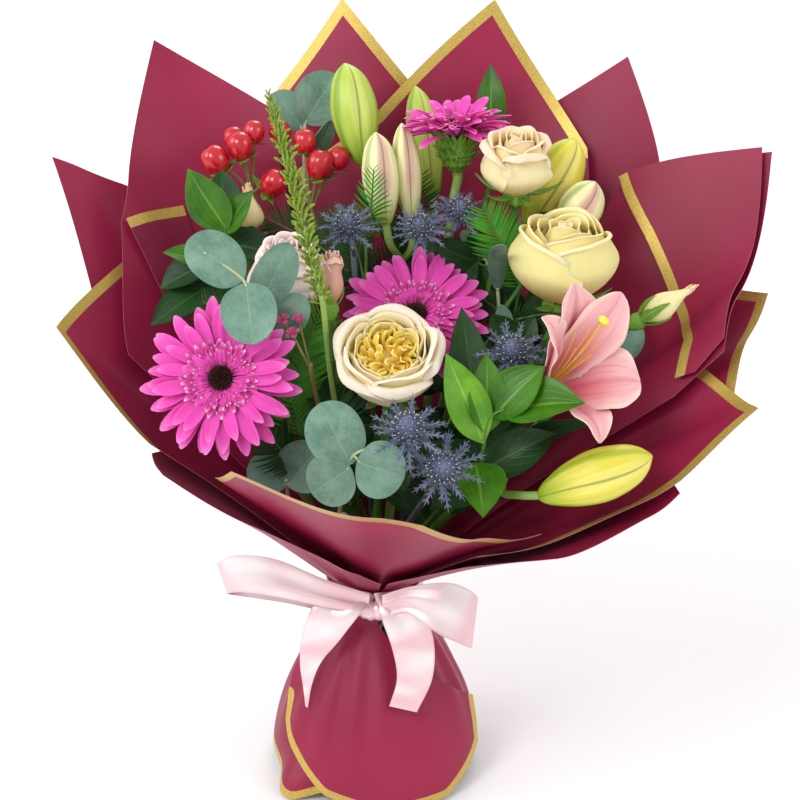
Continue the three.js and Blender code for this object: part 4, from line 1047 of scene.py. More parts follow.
def quarteredHeart(skin, plan, base, turn):
    # the middle of the garden rose: five folds of thick small petals packed round the heart
    dice = np.random.default_rng(plan["seed"])
    lobes, layers = 5, 3
    heights, radii = np.array([(0.3, 0.5), (0.52, 0.5), (0.6, 0.36), (0.64, 0.05)]).T
    turned(skin, base, turn[:, 2], heights * plan["depth"], radii * plan["radius"], 20, "heartPetal")
    domeOf(skin, heartStamp, base + turn[:, 2] * heights[1] * plan["depth"] * mm, turn, 46,
           0.32 * plan["radius"], 74, 0.5, 10, plan["seed"], rim=1.1)
    t, s = np.linspace(0, 1, 12)[:, None], np.linspace(-1, 1, 17)[None, :]
    rising = np.sin(t * math.pi / 2)
    for lobe in range(lobes):
        lean = fullTurn * (lobe + 0.24 * dice.uniform(-1, 1)) / lobes
        for layer in range(layers):
            share = layer / (layers - 1)
            r = 0.14 + 0.18 * share + 0.03 * dice.uniform(-1, 1)
            centre = 0.33 + 0.03 * share + 0.02 * dice.uniform(-1, 1)
            angle = lean + s * math.radians(125 - 45 * share)
            fold = (0.72 + 0.28 * rising) * (1 + 0.05 * np.sin(s * 5 + lobe * 2 + layer) * t)
            curl = np.maximum(t - 0.75, 0) / 0.25
            wide = r * fold - 0.035 * curl**2
            z = 0.36 + (0.36 + 0.1 * share + 0.03 * dice.uniform(-1, 1)) * rising
            grid = headGrid(plan, centre * math.cos(lean) + wide * np.cos(angle),
                            centre * math.sin(lean) + wide * np.sin(angle), z * (1 - 0.07 * s**2))
            skin.slab(base + grid @ turn.T, plan["finish"], 0.06 + 0.34 * share, 1.1 * mm)


def growRose(node, plan):
    skin = Skin()
    axis = facing(*plan["face"])
    turn = frameOn(axis, sideways)
    base = onFace(plan["at"]) - axis * plan["depth"] * mm
    layered(skin, plan, base, turn, plan["seed"])
    if plan.get("heart"):
        quarteredHeart(skin, plan, base, turn)
    growCalyx(skin, base, axis, turn, plan["radius"] * 0.34, plan["seed"], 24, 20)
    path = growStem(skin, node, plan["stem"], base - axis * 12 * mm, base - axis * 3 * mm)
    roseLeaves(skin, path, plan["seed"])
    skin.piece(node, plan["slot"])


def roseLeaves(skin, path, seed):
    # dark leaves of three leaflets on the stem behind the head, near black as painted shade for the gaps
    # there
    line = curveThrough(path, 8)
    dice = np.random.default_rng(seed)
    for number, share in enumerate((0.62, 0.69, 0.76, 0.83, 0.9)):
        foot = line[int(share * (len(line) - 1))]
        way = goldenTurn * number + seed
        out = math.cos(way) * across + math.sin(way) * upFace
        out = unit(out + toEye * 0.35 + upFace * 0.35)
        fork = foot + out * 13 * mm
        sweep(skin, [foot, foot + out * 7 * mm, fork], 0.7, "greenStalk", 3, 6)
        side = unit(np.cross(out, toEye))
        face = unit(toEye + dice.uniform(-0.3, 0.3, 3))
        for reach in (out * 28, out * 9 + side * 20, out * 9 - side * 20):
            width = np.linalg.norm(reach) * 0.66 * mm
            grid = blade(fork, fork + reach * mm, width, face, "rose", 14, 9, cup=0.15, ruffle=0.06,
                         keel=0.12, phase=dice.uniform(0, 6))
            skin.slab(grid, "darkLeaf", dice.uniform(0.1, 0.9), 0.4 * mm)


def lilyLeaves(skin, path, seed):
    # long narrow leaves set round a lily stem, their near-black colour painted shade among the stems
    line = curveThrough(path, 8)
    for number, share in enumerate((0.66, 0.72, 0.78, 0.84, 0.9, 0.96)):
        foot = line[int(share * (len(line) - 1))]
        way = goldenTurn * number + seed
        out = unit(math.cos(way) * across + math.sin(way) * upFace * 0.4 + upFace * 0.5 + toEye * 0.4)
        grid = blade(foot, foot + out * 52 * mm, 15 * mm, unit(toEye + upFace * 0.5), "lance", 16, 7, bow=0.1,
                     droop=0.1, cup=0.3, keel=0.1)
        skin.slab(grid, "darkLeaf", 0.8, 0.4 * mm)


def growCalyx(skin, base, axis, turn, radius, seed, length, lift):
    # the rose hip under the petals, and its five sepals
    radii = [2.6, *np.maximum(np.array([0.62, 0.86, 0.7, 0.5]) * radius, 1)]
    turned(skin, base, axis, [-8, -6, -2, 2, 4], radii, 16, "calyxLeaf")
    ringOf(skin, sepalStamp, base, turn, 5, 0.5 * radius, lift, length, seed, sizeSpread=0.15)


sepalStamp = stampBlade("calyxLeaf", "lance", 0.28, 8, 5, thick=0.03, bow=-0.12, cup=0.3)
for node, plan in roses.items():
    growRose(node, plan)

roseBuds = {
    "rose_dusty_bud": {"from": (-29, 289, 190), "to": (-28, 324, 198), "width": 20, "stem": 2.4,
                       "finish": "dustyPetal", "slot": "rose_dusty", "seed": 41,
                       "lip": 0.1, "shut": 0.4, "sepal": 13},
    "rose_small_bud": {"from": (172, 280, 152), "to": (208, 302, 165), "width": 22, "stem": 2.2,
                       "finish": "smallPetal", "slot": "rose_cream", "seed": 43,
                       "lip": 0.02, "shut": 0.88, "sepal": 21},
    "rose_back_bud": {"from": (-85, 336, 105), "to": (-83, 368, 112), "width": 30, "stem": 2.4,
                      "finish": "backPetal", "slot": "rose_cream", "seed": 47,
                      "lip": 0.02, "shut": 0.88, "sepal": 13},
}


def growRoseBud(node, plan):
    skin = Skin()
    base, tip = onFace(plan["from"]), onFace(plan["to"])
    axis = unit(tip - base)
    turn = frameOn(axis, toEye)
    lip = plan["lip"]
    form = {"radius": plan["width"] / 2, "depth": np.linalg.norm(tip - base) / mm, "shut": plan["shut"],
            "open": 0.05, "bend": 0.25, "point": 0.05, "ruffle": 0.01, "finish": plan["finish"],
            "layers": [(2, 0.3, 1.0, 150, 0.01), (3, 0.6, 0.98, 110, lip * 0.4), (3, 1.0, 0.92, 96, lip)]}
    layered(skin, form, base, turn, plan["seed"], 1.9)
    growCalyx(skin, base, axis, turn, plan["width"] * 0.3, plan["seed"], plan["sepal"], 74)
    growStem(skin, node, plan["stem"], base - axis * 8 * mm, base - axis * 4 * mm)
    skin.piece(node, plan["slot"])


for node, plan in roseBuds.items():
    growRoseBud(node, plan)

print("stage: lilies")
lilies = {
    "lily_tall": {"fork": (18, 318, 100), "stem": 3.2, "slot": "lily_green", "buds": [
        ((-7, 380, 96), (-20, 447, 98), 29, "lilyBudGreen"),
        ((7, 341, 122), (0, 402, 128), 23, "lilyBudPale"),
        ((24, 341, 112), (17, 408, 117), 18, "lilyBudPale"),
        ((38, 358, 60), (26, 432, 62), 22, "lilyBudGreen")]},
    "lily_right": {"fork": (104, 302, 92), "stem": 3, "slot": "lily_green", "buds": [
        ((100, 338, 100), (130, 398, 100), 32, "lilyBudYellow"),
        ((122, 334, 118), (143, 370, 122), 27, "lilyBudPale")]},
    "lily_open": {"fork": (92, 196, 150), "stem": 3.2, "slot": "lily_pink", "buds": [
        ((106, 165, 196), (180, 192, 200), 32, "lilyBudYellow")]},
}
openLily = {
    "at": (113, 236, 196), "face": (45, 22), "tube": 30,
    "petals": [((133, 306, 214), 34, 20), ((164, 300, 206), 32, 14), ((176, 242, 196), 40, 16),
               ((150, 202, 222), 28, 18), ((112, 284, 236), 22, 22)],
    "pistil": (148, 279, 226), "dip": (82, 170, 168),
}


def lilyBud(skin, base, tip, width, name):
    # three outer petals meet in seams, so the section is a soft triangle that turns a little
    turn = frameOn(unit(tip - base), toEye)
    share = np.linspace(0, 1, 34)[:, None]
    angle = fullTurn * np.arange(48) / 48
    seam = np.abs(np.cos(1.5 * (angle - 0.5 * share)))**14
    rib = np.abs(np.sin(1.5 * (angle - 0.5 * share)))**22
    fade = smooth(share, 0.02, 0.3)
    r = outline("bud", share) * width / 2 * mm * (1 - 0.13 * seam * fade + 0.05 * rib * fade)
    rings = (r * np.cos(angle))[..., None] * turn[:, 0] + (r * np.sin(angle))[..., None] * turn[:, 1]
    skin.tube(base + (tip - base) * share[..., None] + rings, name)


def bentTowards(a, b, c, t):
    # a curve from a to c that is drawn towards b
    return (1 - t)**2 * a + 2 * t * (1 - t) * b + t**2 * c


def lilyBloom(skin, fork):
    throat, axis = onFace(openLily["at"]), facing(*openLily["face"])
    t = np.linspace(0, 1, 20)[:, None]
    for number, (to, width, curl) in enumerate(openLily["petals"]):
        tip = onFace(to)
        bend = throat + (tip - throat) * 0.45 + axis * curl * mm
        line = bentTowards(throat - axis * 14 * mm, bend, tip, t)
        tangent = unit(np.gradient(line, axis=0))
        inward = axis - (line - throat) * 4
        inward = inward - tangent * (inward * tangent).sum(1, keepdims=True)
        halves = outline("lily", t[:, 0]) * width / 2 * mm * 1.04
        grid = strap(line - axis * 5 * mm * t**5, inward, halves, 17, cup=0.14, ruffle=0.11, waves=2.6,
                     phase=number * 1.7, keel=0.14)
        skin.slab(grid, "lilyPetal", 0.2 + 0.15 * number, 0.6 * mm)
    turned(skin, throat, axis, np.linspace(-openLily["tube"], -8, 7), [2.4, 3.2, 4.2, 5.2, 6.2, 7, 7.2], 16,
           "lilyBudYellow")
    knob = onFace(openLily["pistil"])
    for side in range(5):
        sway = (math.cos(side * 1.256) * across + math.sin(side * 1.256) * upFace) * 4.5 * mm
        thread = [throat - axis * 5 * mm, throat + (knob - throat) * 0.42 + sway,
                  throat + (knob - throat) * 0.72 + sway * 1.9]
        sweep(skin, thread, 0.55, "pistilStalk", 5, 6)
    style = [throat - axis * 6 * mm, throat + (knob - throat) * 0.5 + axis * 4 * mm, knob]
    sweep(skin, style, 0.95, "pistilStalk", 6)
    turned(skin, knob, unit(knob - throat), np.linspace(-1.5, 3.2, 7), [1, 2.4, 3.3, 3.6, 3.3, 2.2, 0.6], 12,
           "stigma")
    sweep(skin, [fork, throat - axis * (openLily["tube"] - 2) * mm], 2.1, "paleStalk", sides=10)


def growLily(node, plan):
    skin = Skin()
    fork = onFace(plan["fork"])
    for start, end, width, name in plan["buds"]:
        foot, tip = onFace(start), onFace(end)
        lilyBud(skin, foot, tip, width, name)
        bend = foot - (tip - foot) * 0.16
        bend = bend + (fork - bend) * 0.15
        dip = [onFace(openLily["dip"])] if node == "lily_open" else []
        twig = curveThrough([fork, *dip, bend, foot + (tip - foot) * 0.04], 5)
        sweep(skin, twig, np.linspace(2.2, 2.6, len(twig)), "paleStalk", sides=10)
    if node == "lily_open":
        lilyBloom(skin, fork)
    path = growStem(skin, node, plan["stem"], fork, fork + upFace * 3 * mm)
    lilyLeaves(skin, path, len(node))
    skin.piece(node, plan["slot"])


for node, plan in lilies.items():
    growLily(node, plan)

print("stage: berries and sea holly")
berryTwigs = {
    "hypericum_left": {"fork": (-80, 362, 84), "berries": [
        ((-104, 384, 96), 9), ((-88, 393, 96), 8.6), ((-79, 402, 90), 7), ((-92, 398, 84), 7),
        ((-66, 369, 100), 8.6)]},
    "hypericum_top": {"fork": (-42, 352, 92), "berries": [
        ((-46, 396, 100), 7.4), ((-36, 381, 104), 9), ((-24, 385, 100), 7), ((-62, 402, 84), 7.4)]},
}


def growBerries(node, fork, berries):
    skin = Skin()
    base = onFace(fork)
    t = np.linspace(0.995, 0.02, 16)
    for number, (at, radius) in enumerate(berries):
        centre = onFace(at)
        axis = unit(centre - base + upFace * 8 * mm)
        heights = np.cos(t * math.pi) * radius * 1.06
        radii = np.sin(t * math.pi)**0.82 * (1 - 0.08 * t) * radius
        turned(skin, centre, axis, heights, radii, 22, "berryRed", 0.3 + 0.1 * number)
        foot = centre - axis * radius * 0.98 * mm
        ringOf(skin, sepalStamp, foot, frameOn(axis, toEye), 5, 1, 8, (radius * 1.3, radius * 2.3, radius),
               60 + number, sizeSpread=0.15)
        middle = base + (centre - base) * 0.5 + upFace * 2 * mm
        sweep(skin, [base, middle, foot + axis * mm], 1.1, "woodStalk", 5)
    growStem(skin, node, 2, base, base + upFace * 3 * mm, "woodStalk")
    skin.piece(node, "berry_red")


for node, plan in berryTwigs.items():
    growBerries(node, **plan)

seaHollies = {
    "sea_holly_left": {"fork": (-14, 322, 116), "heads": [((-18, 343, 156), (-10, 40), 8, 15)]},
    "sea_holly_top": {"fork": (34, 341, 100), "heads": [
        ((29, 341, 150), (-10, 30), 7.5, 14), ((55, 352, 138), (10, 40), 7.5, 14)]},
    "sea_holly_right": {"fork": (84, 236, 165), "heads": [((89, 261, 196), (0, 30), 9, 16)]},
    "sea_holly_front": {"fork": (38, 172, 196), "heads": [
        ((21, 210, 246), (-5, 30), 9.5, 18), ((44, 184, 238), (5, 10), 9.5, 18)]},
}


def bractStamp():
    # a stiff bract with a few long spines down each side, of length 1
    skin = Skin()
    skin.slab(blade(np.zeros(3), across, 0.08, upright, "needle", 7, 3, bow=0.07), "hollyBract", 0.5, 0.018)
    for number, t in enumerate((0.3, 0.46, 0.62, 0.78)):
        for side in (-1, 1):
            foot = np.array([t, 0, 0.07 * math.sin(math.pi * t)])
            tip = foot + (0.24 - 0.12 * t) * np.array([0.8, side * 0.62, 0.2 * (-1)**number])
            skin.slab(blade(foot, tip, 0.04, upright, "needle", 3, 2, bow=0.03), "hollyBract", 0.7, 0.012)
    return skin.stamp()


hollyBracts = [(11, 8, 1.42), (10, 26, 1.26), (9, 46, 0.95)]  # count, lift, length as a share of the ruff
hollyStamps = {
    "bract": bractStamp(),
    "floret": stampBlade("hollyFloret", "needle", 0.42, 4, 3, thick=0.28, axis=2, bow=0.0),
    "hair": stampBlade("hollyBract", "needle", 0.1, 3, 2, thick=0.05, axis=2, bow=0.04),
    "dot": stampBlade("hollyDot", "petal", 0.6, 3, 3, thick=0.5, axis=2, bow=0.0),
}


def growSeaHolly(node, fork, heads):
    skin = Skin()
    base = onFace(fork)
    for number, (at, face, radius, ruff) in enumerate(heads):
        axis = facing(*face)
        turn = frameOn(axis, toEye)
        foot = onFace(at) - axis * radius * mm
        seed = 70 + 5 * number + int(radius * 2)
        for row, (count, lift, length) in enumerate(hollyBracts):
            ringOf(skin, hollyStamps["bract"], foot + axis * (1.5 + 1.2 * row) * mm, turn, count, 2, lift,
                   (ruff - 1.5) * length, seed + row, liftSpread=0.16, sizeSpread=0.12, phase=row * 0.3)
        t = np.linspace(0, 1, 9)
        core = np.sin(math.pi * (t * 0.9 + 0.08))**0.7
        turned(skin, foot, axis, t * radius * 1.95, core * radius * 0.82, 16, "hollyFloret")
        crown = foot + axis * radius * 0.85 * mm
        domeOf(skin, hollyStamps["floret"], crown, turn, 150, radius * 0.78, 118, 1.12, (2.2, 2.2, 2.7), seed,
               rim=1.1)
        domeOf(skin, hollyStamps["hair"], crown, turn, 80, radius * 0.8, 112, 1.12, (3, 3, 4.6), seed + 1,
               rim=1.2)
        domeOf(skin, hollyStamps["dot"], crown, turn, 46, radius * 0.98, 84, 1.12, 1, seed + 2)
        sweep(skin, [base, foot - axis * 10 * mm, foot + axis * 2 * mm], 1.3, "blueStalk", 5)
    growStem(skin, node, 2, base, base + upFace * 3 * mm, "blueStalk")
    skin.piece(node, "holly_blue")


for node, plan in seaHollies.items():
    growSeaHolly(node, **plan)

waxflower = {"fork": (-42, 248, 188), "flowers": [
    ((-60, 280, 198), 4.5), ((-54, 271, 200), 4.5), ((-50, 281, 192), 4)]}


def growWaxflower():
    skin = Skin()
    base = onFace(waxflower["fork"])
    stamp = stampBlade("waxPetal", "petal", 0.8, 5, 5, thick=0.06, bow=0.1, cup=0.5)
    for number, (at, radius) in enumerate(waxflower["flowers"]):
        centre = onFace(at)
        axis = unit(centre - base + toEye * 12 * mm)
        ringOf(skin, stamp, centre - axis * 1.5 * mm, frameOn(axis, upFace), 5, 0.8, 38, radius, 90 + number)
        foot = centre - axis * 3.5 * mm
        turned(skin, foot, axis, np.linspace(0, 3, 5), [0.8, 1.6, 1.9, 1.7, 0.6], 12, "waxPetal")
        middle = base + (centre - base) * 0.5 + toEye * 2 * mm
        sweep(skin, [base, middle, foot + axis * 0.6 * mm], 0.7, "woodStalk", 5)
    growStem(skin, "waxflower", 1.4, base, base + upFace * 3 * mm, "woodStalk")
    skin.piece("waxflower", "waxflower_pink", "waxflowerTwig")


growWaxflower()

print("stage: leaves")
sprigs = {
    "eucalyptus_top": {"stem": 1.8, "stalk": [(-46, 366, 66), (-46, 402, 72), (-42, 432, 74)], "leaves": [
        ((-46, 408, 74), (-26, 440, 80), 30, (8, 12)), ((-47, 404, 72), (-66, 428, 70), 20, (-20, 30)),
        ((-45, 384, 72), (-28, 410, 78), 14, (50, 10))]},
    "eucalyptus_left": {
        "stem": 1.8, "stalk": [(-66, 258, 164), (-76, 284, 188), (-86, 306, 204), (-112, 324, 210)],
        "leaves": [
            ((-86, 306, 204), (-122, 332, 210), 29, (-10, 20)),
            ((-84, 304, 206), (-80, 264, 222), 31, (0, 10)),
            ((-76, 290, 188), (-56, 330, 208), 24, (20, 16)),
            ((-68, 270, 178), (-46, 296, 192), 22, (20, 10))]},
    "eucalyptus_front": {
        "stem": 1.8, "stalk": [(-24, 150, 192), (-20, 176, 214), (-14, 192, 226), (2, 198, 232)], "leaves": [
            ((-16, 186, 224), (-36, 226, 228), 32, (-6, 10)),
            ((-16, 184, 224), (-42, 168, 226), 30, (-8, -6)),
            ((-12, 188, 228), (19, 178, 233), 32, (6, -8))]},
    "eucalyptus_right": {
        "stem": 1.6, "stalk": [(76, 268, 104), (80, 286, 116), (78, 306, 120), (70, 322, 118)], "leaves": [
            ((79.5, 299, 131), (81, 329, 192), 11, (-10, 60)), ((82, 290, 124), (84, 260, 128), 12, (20, 10)),
            ((70, 322, 118), (56, 338, 114), 9, (0, 10))]},
    "eucalyptus_far_right": {"stem": 1.6, "stalk": [(140, 240, 110), (150, 256, 118)], "leaves": [
        ((149, 254, 118), (168, 282, 124), 28, (10, 10))]},
    "eucalyptus_low": {"stem": 1.6, "stalk": [(-56, 158, 136), (-58, 176, 158)], "leaves": [
        ((-57, 172, 156), (-36, 198, 168), 30, (0, 10)), ((-58, 172, 154), (-80, 190, 160), 26, (-10, 10))]},
    "ruscus_top": {"stem": 1.6, "stalk": [(76, 376, 56), (75, 398, 60)], "leaves": [
        ((75, 396, 60), (75, 446, 64), 18, (0, 14))]},
    "ruscus_left": {"stem": 1.6, "stalk": [(-104, 300, 104), (-104, 322, 122), (-96, 340, 128)], "leaves": [
        ((-96, 338, 128), (-122, 378, 136), 24, (-20, 14)), ((-98, 336, 126), (-80, 364, 134), 17, (10, 40)),
        ((-106, 314, 116), (-138, 324, 128), 18, (-20, 40))],
        "shade": [
            ((-104, 318, 112), (-140, 300, 108), 24, (-20, 30)),
            ((-100, 330, 116), (-64, 322, 116), 26, (10, 30)),
            ((-98, 336, 120), (-100, 378, 108), 24, (0, 30)),
            ((-104, 306, 106), (-70, 288, 112), 26, (10, 20)),
            ((-104, 304, 104), (-146, 276, 116), 24, (-10, 20))]},
    "ruscus_right": {
        "stem": 1.6, "stalk": [(66, 168, 168), (70, 196, 196), (74, 216, 206), (84, 222, 210)], "leaves": [
            ((70, 200, 200), (46, 258, 214), 24, (-10, 30)), ((72, 206, 202), (72, 258, 206), 22, (10, 20)),
            ((76, 216, 206), (110, 250, 212), 28, (10, 40)), ((82, 220, 208), (136, 226, 224), 32, (6, 40)),
            ((65, 187, 188), (70, 152, 226), 29, (6, 6))],
        "shade": [
            ((70, 196, 186), (94, 272, 178), 28, (0, 30)), ((72, 206, 188), (126, 252, 172), 30, (10, 30)),
            ((68, 182, 178), (118, 206, 184), 28, (10, 20)), ((66, 176, 172), (36, 158, 186), 24, (-10, 10)),
            ((70, 200, 184), (56, 288, 152), 26, (-10, 30))]},
}
leafThick = 0.5 * mm
leafLooks = {
    "eucalyptus": {
        "kind": "round", "cols": 15, "finish": "eucalyptusLeaf", "stalk": "paleTwig",
        "slot": "leaf_grey_green", "form": {"cup": 0.1, "ruffle": 0.05, "waves": 1.3, "keel": 0.05}},
    "ruscus": {
        "kind": "pointed", "cols": 11, "finish": "ruscusLeaf", "stalk": "greenStalk",
        "slot": "leaf_green", "form": {"cup": 0.26, "ruffle": 0.06, "waves": 1.3, "keel": 0.1}},
}


def growSprig(node, stem, stalk, leaves, shade=()):
    skin = Skin()
    look = leafLooks[node.split("_")[0]]
    points = [onFace(p) for p in stalk]
    line = curveThrough(points, 8)
    sweep(skin, line, np.linspace(1.3, 0.9, len(line)), look["stalk"])
    for number, (start, end, width, face) in enumerate(leaves):
        base, tip = onFace(start), onFace(end)
        grid = blade(base, tip, width * 1.06 * mm, facing(*face), look["kind"], 22, look["cols"],
                     phase=number * 1.9, **look["form"])
        finish = "ruscusLime" if node == "ruscus_right" and number == 0 else look["finish"]
        skin.slab(grid, finish, 0.2 + 0.6 * ((number * 0.618) % 1), leafThick)
        nearest = line[np.argmin(np.linalg.norm(line - base, axis=1))]
        inner = base + unit(tip - base) * 2.5 * mm
        joint = [nearest, (nearest + inner) / 2 + toEye * 0.3 * mm, inner]
        sweep(skin, joint, 0.8, look["stalk"], 4, spacing=1)
    # the shade leaves are extra near-black leaves put into gaps between the heads: painted shade
    for number, (start, end, width, face) in enumerate(shade):
        grid = blade(onFace(start), onFace(end), width * mm, facing(*face), "pointed", 16, 9,
                     phase=number * 1.3, **look["form"])
        skin.slab(grid, "darkLeaf", 0.15 * number, leafThick)
    growStem(skin, node, stem, points[0], points[0] + unit(points[1] - points[0]) * 3 * mm, look["stalk"])
    skin.piece(node, look["slot"])


for node, plan in sprigs.items():
    growSprig(node, **plan)

# the fronds behind the first are coloured near black as painted shade
fronds = {  # the first frond is the one in front; the others fill the shade behind it
    "fern_left": [
        ([(-49, 206, 156), (-53, 238, 168), (-36, 286, 176)], 54, 56),
        ([(-44, 186, 150), (-62, 196, 162), (-78, 222, 160)], 40, 60),
        ([(-44, 186, 150), (-26, 204, 158), (-30, 240, 160)], 40, 60),
        ([(-44, 200, 140), (-64, 250, 140), (-112, 292, 136)], 50, 64)],
    "fern_top": [
        ([(94, 302, 123), (83, 326, 134), (70, 352, 142)], 40, 46),
        ([(90, 280, 118), (112, 284, 124), (128, 282, 124)], 34, 48),
        ([(90, 280, 118), (68, 296, 112), (54, 322, 104)], 40, 54),
        ([(90, 280, 118), (122, 262, 126), (152, 252, 130)], 46, 54)],
    "fern_back": [
        ([(-6, 332, 112), (-3, 350, 138), (-1, 378, 146)], 26, 40),
        ([(-6, 300, 112), (-14, 330, 110), (-30, 352, 108)], 34, 54),
        ([(-6, 300, 106), (-34, 326, 98), (-70, 346, 90)], 46, 60),
        ([(-6, 300, 106), (20, 332, 96), (30, 374, 90)], 40, 54)],
}
fernStamp = stampBlade("fernLeaf", "needle", 0.09, 6, 3, thick=0.02, axis=2, bow=0.1, cup=0.3)


def growFrond(node, parts):
    skin = Skin()
    for number, (stalk, width, count) in enumerate(parts):
        line = curveThrough([onFace(p) for p in stalk], 8)
        sweep(skin, line, np.linspace(1.1, 0.4, len(line)), "greenStalk")
        half = width / 2 / math.sin(math.radians(58))
        leafletsAlong(skin, fernStamp, "fernShade" if number else "fernLeaf", line, count, 180, 58, half, 7,
                      0.25, 0.55, 0.06)
        if number:
            sweep(skin, [first, line[0]], 1.1, "greenStalk")
        else:
            first = line[0]
            growStem(skin, node, 1.5, first, line[2])
    skin.piece(node, "leaf_green")


for node, parts in fronds.items():
    growFrond(node, parts)

spikeFlower = {"stalk": [(-34, 290, 206), (-44, 330, 212), (-56, 382, 188), (-69, 426, 170)], "width": 15}


def growSpike():
    skin = Skin()
    points = [onFace(p) for p in spikeFlower["stalk"]]
    line = curveThrough(points, 10)
    sweep(skin, line, np.linspace(1.6, 0.7, len(line)), "paleStalk")
    stamp = stampBlade("spikeLeaf", "petal", 0.18, 5, 3, thick=0.1, axis=2, bow=-0.16, cup=0.4)
    size = spikeFlower["width"] * 0.62
    leafletsAlong(skin, stamp, "spikeLeaf", line, 230, 137.5, 52, size, 5, 0.5, 0.85, 0.4)
    growStem(skin, "goldenrod", 1.8, points[0], line[2], "paleStalk")
    skin.piece("goldenrod", "goldenrod_green", "goldenrodSpike")


growSpike()

print("stage: wrapping film")
wrap = {
    "lean": [(-90, 52), (-65, 57), (-45, 61), (-30, 60), (-15, 55), (0, 48), (30, 36), (90, 22), (150, 35),
             (180, 44), (210, 46), (240, 48), (270, 52)],  # degrees out from upright, by azimuth
    "leanPerLayer": 2.5, "leanAtWaist": 0.86, "leanSettles": 140, "waistRadius": 26, "gap": 1.4,
    "waistTop": 135, "waistBottom": 108, "tuckBottom": 119, "hemClearance": 1, "thick": 0.25,
    "hemBorder": 5, "cell": 3.2, "creases": 17, "spread": 39, "skirtRows": 34, "waistRows": 5,
}


def leanAt(azimuth):
    angle = (np.asarray(azimuth, float) + 90) % 360 - 90
    ends, leans = zip(*wrap["lean"])
    place = np.clip(np.searchsorted(ends, angle), 1, len(ends) - 1)
    share = smooth(angle, np.take(ends, place - 1), np.take(ends, place))
    low, high = np.take(leans, place - 1), np.take(leans, place)
    return low + (high - low) * share


def unrolledAt(azimuth):
    # how far a cone with the lean there opens when it is laid flat
    return math.sin(math.radians(float(leanAt(azimuth))))


def crease(azimuth, z):
    # shallow folds run up and down from the tie, the same on every layer so that they nest
    a = np.radians(azimuth)
    wave = np.sin(wrap["creases"] * a + 1.3 * np.sin(3 * a)) + 0.6 * np.sin(9 * a + 2 + z * 0.01)
    below = smooth(-z, -wrap["waistBottom"], -70) * (1 - smooth(-z, -60, -18))
    above = smooth(z, wrap["waistTop"], 150) * (1 - smooth(z, 160, 205))
    return wave * (1.1 * below + 0.8 * above)


def aroundAxis(azimuth, radius, z):
    a = np.radians(azimuth)
    return np.stack(np.broadcast_arrays(radius * np.cos(a), radius * np.sin(a), z), axis=-1) * mm


def waist(layer):
    return wrap["waistRadius"] + wrap["gap"] * layer


def cupPoint(azimuth, slant, layer):
    # a place up the film from the waist, by its slant length; azimuth and slant are arrays
    steps = 8
    radius, z = waist(layer), wrap["waistTop"] - layer
    lean = leanAt(azimuth) + wrap["leanPerLayer"] * layer
    for i in range(steps):
        passed = (i + 0.5) / steps * slant
        share = wrap["leanAtWaist"] + (1 - wrap["leanAtWaist"]) * np.minimum(passed / wrap["leanSettles"], 1)
        bend = np.radians(lean * share)
        radius = radius + np.sin(bend) * slant / steps
        z = z + np.cos(bend) * slant / steps
    return aroundAxis(azimuth, radius + crease(azimuth, z), z)


def skirtPoint(azimuth, drop, layer, spread, kick=None):
    # kick pulls one corner of the hem outwards: how far, round which azimuth, and how wide
    share = drop / wrap["waistBottom"]
    radius = waist(layer) + spread * np.sin(share * math.pi / 2)
    if kick:
        far, middle, wide = kick
        radius = radius + far * np.exp(-((azimuth - middle) / wide)**2) * smooth(drop, 78, 108)
    z = (wrap["waistBottom"] + layer) * (1 - share) + wrap["hemClearance"] * share
    return aroundAxis(azimuth, radius + crease(azimuth, z), z)


def straightEdge(first, last, azimuth):
    # cut edges are straight in the flat sheet, so across the unrolled cone
    (a, low), (b, high) = first, last
    unroll = unrolledAt((a + b) / 2)
    whole = math.radians(b - a) * unroll
    part = np.radians(azimuth - a) * unroll
    return low * high * math.sin(whole) / (low * np.sin(part) + high * np.sin(whole - part))


def topEdge(corners, azimuth):
    out = np.zeros(len(azimuth))
    for first, last in zip(corners, corners[1:]):
        inside = (azimuth >= first[0] - 1e-6) & (azimuth <= last[0] + 1e-6)
        out[inside] = straightEdge(first, last, azimuth[inside])
    return out


def fromLine(points, line):
    # the distance of each point from a line of points, in millimetres
    best = np.full(len(points), 1e3)
    for a, b in zip(line, line[1:]):
        along = b - a
        t = np.clip(((points - a) @ along) / max(along @ along, 1e-15), 0, 1)
        gap = np.linalg.norm(points - a - t[:, None] * along, axis=1)
        best = np.minimum(best, gap / mm)
    return best


def filmColumns(corners):
    columns = [corners[0][0]]
    for (a, low), (b, high) in zip(corners, corners[1:]):
        radius = wrap["waistRadius"] + unrolledAt((a + b) / 2) * max(low, high)
        parts = max(int(math.radians(b - a) * radius / wrap["cell"]), 3)
        columns.extend(np.linspace(a, b, parts + 1)[1:])
    return np.array(columns)


def filmGrid(layer, top, hem=None, spread=wrap["spread"], kick=None):
    # rows run from the hem, or the tucked end, to the top edge
    azimuth = filmColumns(top)
    slant = topEdge(top, azimuth)
    rows = []
    start = wrap["tuckBottom"]
    if hem:
        ends, drops = zip(*hem)
        below = np.interp(azimuth, [azimuth[0], azimuth[-1]], [ends[0], ends[-1]])
        drop = np.interp(below, ends, drops)
        for share in np.linspace(1, 0, wrap["skirtRows"])[:-1]:
            rows.append(skirtPoint(azimuth + (below - azimuth) * share, drop * share, layer, spread, kick))
        start = wrap["waistBottom"] + layer
    for z in np.linspace(start, wrap["waistTop"] - layer, wrap["waistRows"])[:-1]:
        rows.append(aroundAxis(azimuth, waist(layer), z))
    count = max(int(slant.max() / wrap["cell"]), 8)
    for share in np.linspace(0, 1, count + 1):
        rows.append(cupPoint(azimuth, slant * share, layer))
    return np.array(rows)


